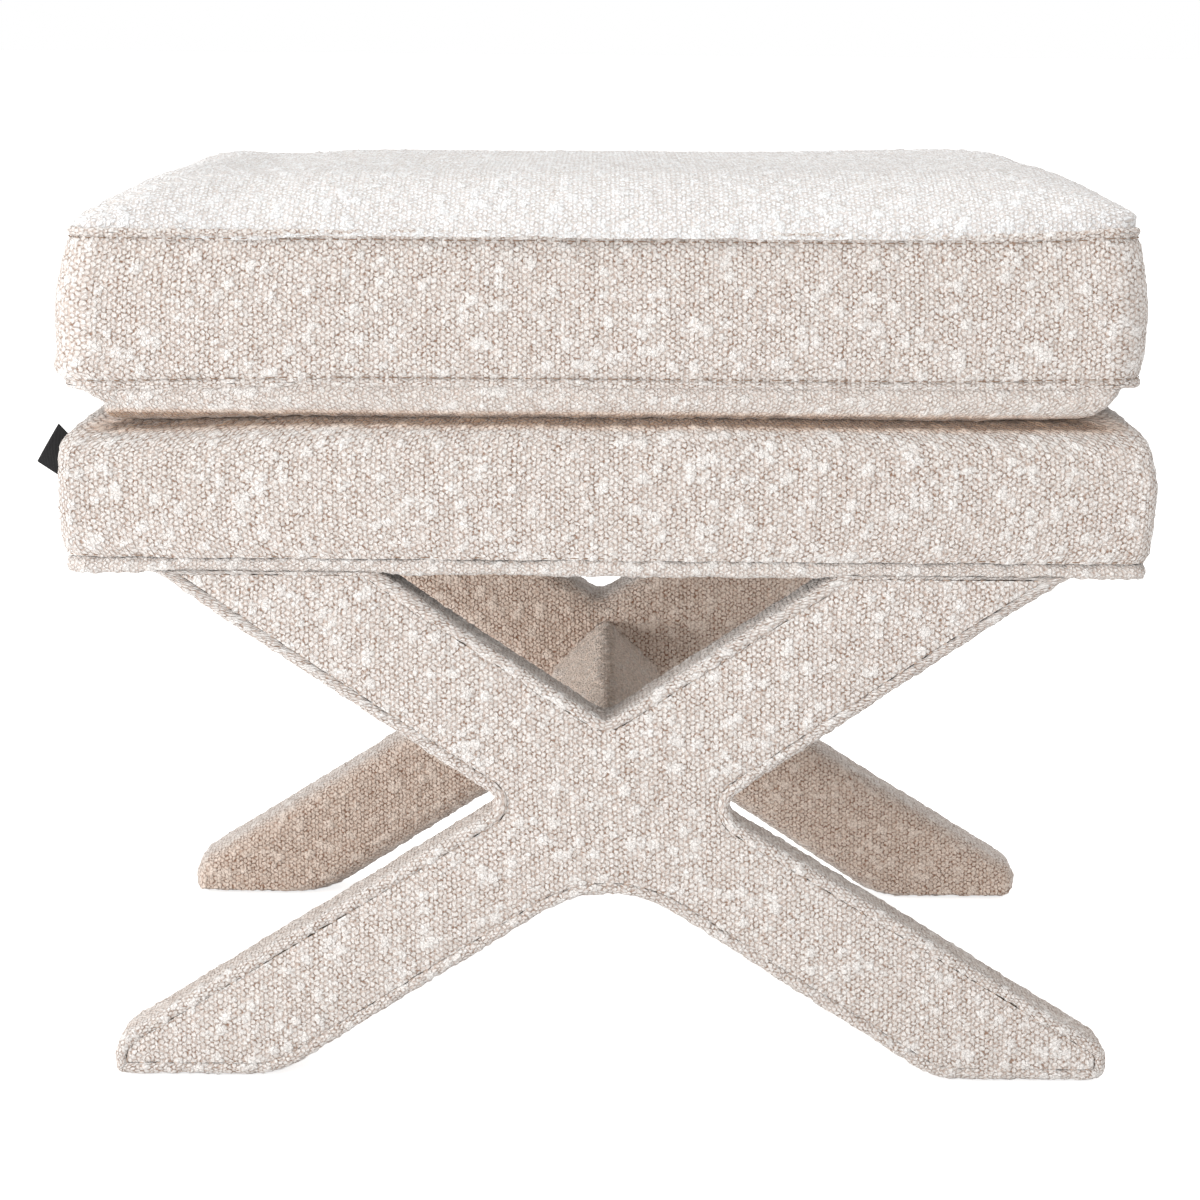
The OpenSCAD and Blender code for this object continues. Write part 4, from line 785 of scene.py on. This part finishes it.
# Dust cover: thin black lining under the rails that sags a little between the frames
dust = plain_cloth("dust_lining", (0.028, 0.028, 0.030), 1800.0, 0.00015, 0.9, 0.15, 0.25)
hw, hd = SH - 9.2, SD - 9.2
cols, levels = 90, 66
gx, gy = np.meshgrid(np.linspace(-hw, hw, cols), np.linspace(-hd, hd, levels))
between = smooth(0, 60, (hd - FRAME_T) - np.abs(gy))
sag = 2.2 * (1 - (gx / hw) ** 2) * (1 - (gy / hd) ** 2) ** 2 + 0.35 * flat_noise(gx, gy, 45.0, 61)
verts = np.stack([gx + SEAT_X, gy, SEAT_LOW + 0.35 - sag * between], -1).reshape(-1, 3)
lining = make_mesh("dust_lining_sheet", verts, grid_faces(levels, cols, flip=True),
                   grid_uvs(np.stack([gx, gy], -1), cols, flip=True), dust)
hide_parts("dust_cover")

# X frames: corners of the outline, their radii, and how much each edge after them draws in at the inner face
X_POINTS = np.array([
    [0, 210], [-128.5, 295], [-256, 295], [-58, 162.6], [-285, 21.6], [-285, 1.2], [-191.5, 1.2],
    [0, 122.6], [187, 1.2], [285, 1.2], [285, 20.8], [60.6, 160.0], [260.3, 295], [128.5, 295]], float)
X_RADII = [10, 0, 0, 7, 20, 5, 58, 70, 45, 9, 13, 11, 0, 0]
SHARES = [1, 0, 1, 0.8, 0.5, 0.2, 1, 1, 0.2, 0.5, 0.8, 1, 0, 1]
ARM_TOPS = (1, 12)  # edges under the seat
GROOVE, GROOVE_TOP = 7.2, 2.3  # from the outline to the seam round the face, and under the seat
INNER_R, OUTER_R = 16.0, 4.0  # rounding of the inner and the outer edge
# How strongly painted shade browns the frames' inner faces
INNER_PAINTED_SHADE = 0.45


def left_of(v):
    return np.array([-v[1], v[0]])


def corners_of(points):
    """Each corner of a closed outline, with the directions of the edges before and after it and its turn."""
    for before, p, after in zip(np.roll(points, 1, 0), points, np.roll(points, -1, 0)):
        u, v = unit(p - before), unit(after - p)
        yield p, u, v, math.atan2(left_of(u) @ v, u @ v)


ARC_N = [0 if r == 0 else max(4, round((r + 6) * abs(turn) / STEP))
         for r, (_, _, _, turn) in zip(X_RADII, corners_of(X_POINTS))]
EDGE_N = [max(2, round(np.linalg.norm(edge) / STEP)) for edge in np.roll(X_POINTS, -1, 0) - X_POINTS]


def x_outline(base, top, rounding=0.0):
    """Outline of the frame inset by base, with as many points whatever the inset."""
    d = [(top if e in ARM_TOPS else base) + share * rounding for e, share in enumerate(SHARES)]
    moved = [p + (u * d[i] - v * d[i - 1]) / (u @ left_of(v)) for i, (p, u, v, _) in enumerate(corners_of(X_POINTS))]
    corners = []
    for i, (p, u, v, turn) in enumerate(corners_of(np.array(moved))):
        if X_RADII[i] == 0:
            corners.append(np.array([p]))
            continue
        s = -1 if turn < 0 else 1
        r = max(X_RADII[i] - s * max(d[i - 1], d[i]), 0.4)
        start = p - u * r * math.tan(abs(turn) / 2)
        centre = start + left_of(u) * s * r
        arm = start - centre
        t = np.linspace(0, turn, ARC_N[i] + 1)[:, None]
        corners.append(centre + arm * np.cos(t) + left_of(arm) * np.sin(t))
    out = []
    for i, corner in enumerate(corners):
        p, b = corner[-1], corners[(i + 1) % len(corners)][0]
        out += [corner, p + (b - p) * (np.arange(1, EDGE_N[i])[:, None] / EDGE_N[i])]
    return np.concatenate(out)


def lean(x, z, rear=0.0):
    """The frame stands a little to the right at its feet and to the left under the seat."""
    by_height = 2.4 - 4.2 * np.clip(z / 295.0, 0, 1) - 1.6 * smooth(110, 200, z) * smooth(292, 262, z)
    return x + by_height - 2.0 * rear


def inside(points, loop):
    x, z = points[:, 0], points[:, 1]
    ok = np.zeros(len(points), bool)
    for (x1, z1), (x2, z2) in zip(loop, np.roll(loop, -1, 0)):
        if z1 != z2:
            ok ^= ((z1 > z) != (z2 > z)) & (x < (x2 - x1) * (z - z1) / (z2 - z1) + x1)
    return ok


def distance(points, loop):
    best = np.full(len(points), 1e9)
    for p1, p2 in zip(loop, np.roll(loop, -1, 0)):
        e = p2 - p1
        t = np.clip(((points - p1) @ e) / max(e @ e, 1e-12), 0, 1)
        best = np.minimum(best, np.linalg.norm(points - p1 - t[:, None] * e, axis=1))
    return best


def fill(loop):
    """Triangles over a closed outline, with even points inside it."""
    lo, hi = loop.min(0), loop.max(0)
    row = STEP * 0.87
    nx, nz = int((hi[0] - lo[0]) / STEP), int((hi[1] - lo[1]) / row)
    gx, gz = np.meshgrid(lo[0] + STEP * (np.arange(nx) + 0.5), lo[1] + row * (np.arange(nz) + 0.5))
    gx[1::2] += STEP / 2
    pts = np.stack([gx.ravel(), gz.ravel()], -1)
    pts = pts[inside(pts, loop)]
    pts = pts[distance(pts, loop) > 0.6 * STEP]
    n = len(loop)
    edges = [(i, (i + 1) % n) for i in range(n)]
    got = delaunay_2d_cdt([Vector(v) for v in np.concatenate([loop, pts])], edges, [], 1, 1e-5)
    return np.array([list(v) for v in got[0]]), np.array([f for f in got[2] if len(f) == 3])


def facing_y(verts, faces, sign):
    """The triangles, turned over if they face away from that side in Y."""
    a, b, c = np.moveaxis(verts[faces], 1, 0)
    return faces[:, ::-1] if np.cross(b - a, c - a)[:, 1].sum() * sign < 0 else faces


groove_loop = x_outline(GROOVE, GROOVE_TOP)
face_fill = fill(groove_loop)
back_loop = x_outline(0, 0, INNER_R)
back_fill = fill(back_loop)
outline_u = lengths(closed(x_outline(0, 0)))


def x_frame(tag, sign, seed):
    """Both pieces of one frame; sign is -1 for the front frame and 1 for the rear one."""
    def at(xz, depth):
        y = np.broadcast_to(sign * (FRAME_Y - depth), len(xz))
        return np.stack([lean(xz[:, 0], xz[:, 1], max(sign, 0)), y, xz[:, 1]], -1)

    def flat_relief(xz, y, offset, seed):
        return relief(np.stack([xz[:, 0], np.full(len(xz), float(y)), xz[:, 1]], -1), xz + offset, seed)

    # Face panel, a little fuller between its seams
    xz, faces = face_fill
    d = distance(xz, groove_loop)
    puff = 1.05 * np.exp(-d / 2.2) - 0.5 * smooth(4, 20, d)
    bumps, slub = flat_relief(xz, seed, seed, seed)
    verts = at(xz, puff - bumps)
    faces = facing_y(verts, faces, sign)
    face = make_mesh(f"{tag}_x_face_cloth", verts, faces, (xz + seed)[faces.ravel()], boucle_frame, slub)
    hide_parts(f"{tag}_x_face_panel", f"{tag}_x_face_pad")

    # Band beside the groove, outer edge and walls, by inset, inset under the seat and depth
    section = [(GROOVE, 2.2, 1.3), (6.3, 0.9, 0.5), (5.2, 0.3, 0.1), (OUTER_R, 0, 0.0)]
    section += [(OUTER_R - OUTER_R * math.sin(t), 0, OUTER_R - OUTER_R * math.cos(t))
                for t in np.radians([22.5, 45, 67.5, 90])]
    wall_end = FRAME_T - INNER_R
    wall_n = max(6, round((wall_end - OUTER_R) / STEP))
    section += [(0, 0, depth) for depth in np.linspace(OUTER_R, wall_end, wall_n)[1:]]
    rows = [x_outline(base, top) for base, top, _ in section]
    depths = [depth for _, _, depth in section]
    # Rounded inner edge
    unrolled = []
    arc_n = max(6, round(25 / STEP))
    for t in np.arange(1, arc_n + 1) * (math.pi / 2 / arc_n):
        rows.append(x_outline(0, 0, INNER_R * (1 - math.cos(t))))
        depths.append(wall_end + INNER_R * math.sin(t))
        unrolled.append(x_outline(0, 0, INNER_R - INNER_R * (math.pi / 2 - t)))
    depths = np.array(depths)
    rows = np.array([at(row, depth) for row, depth in zip(rows, depths)])
    n, m = rows.shape[:2]
    uv = pairs(outline_u, lengths(rows[:, 60])) + seed
    # Outward is up on the outline's first edge
    out = 1 if normals(rows, True)[len(section) // 2 + 2, 3, 2] > 0 else -1
    rows, slub = cloth(rows, uv, seed + 5, out, True, 0.9)
    # Past the middle of the rounded edge the weave follows the inner face
    corner = grid_uvs(uv, m, True)
    plane = np.array(unrolled[arc_n // 2:]) + seed * 2
    plane = np.concatenate([plane, plane[:, :1]], 1)
    corner[-(len(plane) - 1) * m:] = grid_uvs(plane, m, True)
    if out < 0:
        corner = corner[:, ::-1]
    quads = grid_faces(n, m, True, out < 0)

    # Inner face
    xz, tris = back_fill
    bumps, back_slub = flat_relief(xz, seed + 9.0, -seed, seed + 7)
    back = at(xz, FRAME_T + bumps - 0.9 * np.exp(-np.abs(xz[:, 0]) / 1.5))
    back[:len(back_loop)] = rows[-1]
    tris = facing_y(back, tris, -sign)
    verts = np.concatenate([rows.reshape(-1, 3), back])
    faces = quads.tolist() + (tris + n * m).tolist()
    uvs = np.concatenate([corner.reshape(-1, 2), (xz + seed * 2)[tris.ravel()]])
    # Painted shade: the walls are painted a little browner and the inner face more
    painted_shade = np.maximum(0.2 * smooth(3, 9, depths), INNER_PAINTED_SHADE * smooth(FRAME_T - 20, FRAME_T, depths))
    painted_shade = np.concatenate([np.repeat(painted_shade, m), np.full(len(xz), INNER_PAINTED_SHADE)])
    slub = np.concatenate([slub.ravel(), back_slub])
    cover = make_mesh(f"{tag}_x_cover_cloth", verts, faces, uvs, boucle_frame, slub, "base", painted_shade)
    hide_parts(f"{tag}_x_cover_left", f"{tag}_x_cover_right", f"{tag}_x_padding")
    # Seam thread in the groove
    line = at(x_outline(GROOVE - 0.2, GROOVE_TOP), 1.35)
    out = np.tile([0, float(sign), 0], (len(line), 1))
    stitches(f"{tag}_x_seam_thread", line, out, "base", 3.4, 6.5, 0.24, pale_thread)


x_frame("front", -1, 71)
x_frame("rear", 1, 91)

# Stretcher, on edge: its round corners reach as far as sharp ones would
BAR_R = 9.0
corner_at = BAR_W / math.sqrt(2) - BAR_R
corner_n, flat_n = max(5, round(17 / STEP)), round(36 / STEP)
section = []
for k in range(4):
    a = math.pi / 2 * k
    section += [corner_at * spoke(a) + BAR_R * spoke(t)
                for t in np.linspace(a - math.pi / 4, a + math.pi / 4, corner_n + 1)]
    start, end = section[-1], corner_at * spoke(a + math.pi / 2) + BAR_R * spoke(a + math.pi / 4)
    section += [start + (end - start) * j / flat_n for j in range(1, flat_n)]
section = np.array(section)
ys = np.linspace(-BAR_L / 2, BAR_L / 2, round(BAR_L / STEP))
squeeze = 1 - 0.03 * np.exp(-(BAR_L / 2 - np.abs(ys)) / 12.0)
rows = np.stack([section[:, 0] * squeeze[:, None] + lean(0, BAR_Z), np.tile(ys[:, None], len(section)),
                 section[:, 1] * squeeze[:, None] + BAR_Z], -1)
uv = pairs(lengths(closed(section)), ys)
out = 1 if normals(rows, True)[5, 0, 0] > 0 else -1
# Painted shade: the whole stretcher is painted a little browner
painted_shade = np.full(rows.shape[:2], 0.34)
bar = grid_piece("stretcher_cloth", rows, uv, boucle_bar, 111, out, True, 1.5, "base", painted_shade)
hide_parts("stretcher_cover", "stretcher_padding")

# Side tab: a loop of tape folded over its outer end, by its corners in X and Z from the wall outward
TAB_Y, TAB_HALF, TAB_BULGE = -213.2, 0.75, 1.6
tab_mat = woven("tab_weave", (0.016, 0.016, 0.017), 0.8, 0.00025, 0.55, 0.75, (0.8, 1.3), 0.05)
top_in, top_out = np.array([-300.3, 366.3]), np.array([-308.8, 375.4])
low_in, low_out = np.array([-305.9, 344.4]), np.array([-321.0, 354.3])
across, down = np.meshgrid(np.linspace(0, 1, 18), np.linspace(0, 1, 26))


def tab_side(off):
    a = top_in * (1 - down[..., None]) + low_in * down[..., None]
    b = top_out * (1 - down[..., None]) + low_out * down[..., None]
    q = a * (1 - across[..., None]) + b * across[..., None]
    y = TAB_Y - off - TAB_BULGE * np.sin(np.pi * down) * (0.4 + 0.6 * across)
    return np.stack([q[..., 0], y, q[..., 1]], -1)


front_side, back_side = tab_side(TAB_HALF), tab_side(-TAB_HALF)[:, ::-1]
out_dir = unit(top_out - top_in)
middle = (front_side[:, -1] + back_side[:, 0]) / 2
fold = [middle + [0.9 * math.sin(a) * out_dir[0], -TAB_HALF * math.cos(a), 0.9 * math.sin(a) * out_dir[1]]
        for a in math.pi / 5 * np.arange(1, 5)]
tab = np.concatenate([front_side, np.stack(fold, 1), back_side], 1)
n, m = tab.shape[:2]
uv = pairs(np.arange(m), np.arange(n))
tab_ob = make_mesh("side_tab_weave", tab.reshape(-1, 3), grid_faces(n, m, flip=True), grid_uvs(uv, m), tab_mat)
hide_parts("side_tab")

# Finishes of the CAD pieces that stay
wood = [timber(f"sawn_timber_{k}", k) for k in range(4)]
finishes = (
    (metal("zinc_steel", (0.62, 0.63, 0.64)),
     ["lap_screws", "stretcher_bolts", "stretcher_washers", "stretcher_inserts", "frame_bolts", "frame_washers",
      "arm_inserts"]),
    (metal("zip_nickel", (0.66, 0.65, 0.62), 0.28), ["zip_stops", "zip_slider", "zip_pull"]),
    (woven("jute_webbing", (0.52, 0.40, 0.24), 2.4, 0.0006, 0.6), ["webbing_long", "webbing_cross"]),
    (woven("hessian_weave", (0.56, 0.44, 0.27), 1.8, 0.0004, 0.55), ["hessian_sheet"]),
    (plain_cloth("glide_plastic", (0.02, 0.02, 0.02), 600.0, 0.00002, 0.5, 0.0, 0.1), ["foot_glides"]),
    (wood[0], ["front_x_beam_left", "rear_x_beam_left", "seat_rail_front", "seat_rail_rear"]),
    (wood[1], ["front_x_beam_right", "rear_x_beam_right", "seat_rail_left", "seat_rail_right"]),
    (wood[2], ["front_x_arch_block", "rear_x_arch_block", "corner_blocks"]),
    (wood[3], ["stretcher_core"]),
)
for mat, names in finishes:
    for name in names:
        ob = bpy.data.objects[name]
        ob.data.materials.clear()
        ob.data.materials.append(mat)

# Camera, fitted to the photo
cam = bpy.data.cameras.new("camera")
cam.sensor_width = 36.0
cam.lens = 99.232
cam_ob = add_object("camera", cam)
cam_ob.matrix_world = Matrix.Translation((-0.010156, -2.051226, 0.598856))
for angle, axis in ((-0.13, "Z"), (90 - 9.894, "X"), (0.471, "Z")):  # to the right, down, and its own tilt
    cam_ob.matrix_world = cam_ob.matrix_world @ Matrix.Rotation(math.radians(angle), 4, axis)
scene.camera = cam_ob

# Studio: a soft white surround, seen as plain white
world = bpy.data.worlds.new("studio")
scene.world = world
world.use_nodes = True
world.node_tree.nodes.clear()
output, mix, path, lit, seen = (world.node_tree.nodes.new(f"ShaderNode{kind}") for kind in (
    "OutputWorld", "MixShader", "LightPath", "Background", "Background"))
lit.inputs[0].default_value = (1.0, 0.98, 0.96, 1)
lit.inputs[1].default_value = 0.72
seen.inputs[0].default_value = (1, 1, 1, 1)
for socket, value in ((mix.inputs[0], path.outputs["Is Camera Ray"]), (mix.inputs[1], lit.outputs[0]),
                      (mix.inputs[2], seen.outputs[0]), (output.inputs[0], mix.outputs[0])):
    world.node_tree.links.new(value, socket)

# Pale floor, which the camera sees through from below
floor_me = bpy.data.meshes.new("floor")
floor_me.from_pydata([(-30, -30, 0), (30, -30, 0), (30, 60, 0), (-30, 60, 0)], [], [(0, 1, 2, 3)])
floor_ob = add_object("floor", floor_me)
m = Nodes("floor_white")
m.surface((0.86, 0.86, 0.86, 1), 0.9, 0.1)
brighter = m.math("MULTIPLY", m.add("ShaderNodeLightPath").outputs["Is Camera Ray"], 0.75)
glow = m.add("ShaderNodeEmission", {0: (1, 1, 1, 1), 1: brighter})
both = m.add("ShaderNodeAddShader", {0: m.bsdf.outputs[0], 1: glow.outputs[0]})
below = m.add("ShaderNodeNewGeometry").outputs["Backfacing"]
clear = m.add("ShaderNodeBsdfTransparent").outputs[0]
m.put(m.out.inputs[0], m.add("ShaderNodeMixShader", {0: below, 1: both.outputs[0], 2: clear}).outputs[0])
floor_me.materials.append(m.mat)


def area(name, at, toward, size, power, colour):
    light = bpy.data.lights.new(name, "AREA")
    light.shape = "RECTANGLE"
    light.size, light.size_y = size
    light.energy = power
    light.color = colour
    ob = add_object(name, light)
    ob.location = at
    ob.rotation_euler = (Vector(toward) - Vector(at)).to_track_quat("-Z", "Y").to_euler()
    return ob


area("overhead", (0.0, 0.15, 2.3), (0, 0, 0.3), (2.2, 2.0), 26.0, (1.0, 1.0, 1.0))
area("key_left", (-2.2, -2.3, 0.55), (0, 0, 0.25), (2.2, 1.0), 34.5, (1.0, 0.985, 0.975))
area("side_left", (-2.7, -0.8, 0.5), (0, 0, 0.25), (1.6, 0.9), 29.0, (1.0, 0.995, 0.99))
under_seat = area("under_seat", (0, 0, 0.287), (0, 0, 0), (0.46, 0.30), 0.12, (1.0, 0.91, 0.83))
under_seat.visible_camera = False
area("front_low", (0.3, -2.9, 0.35), (0, 0, 0.2), (2.8, 0.6), 16.0, (1.0, 0.985, 0.97))

view = scene.view_settings
view.view_transform = "Standard"
view.look = "None"
view.exposure = 0.0
view.gamma = 1.0
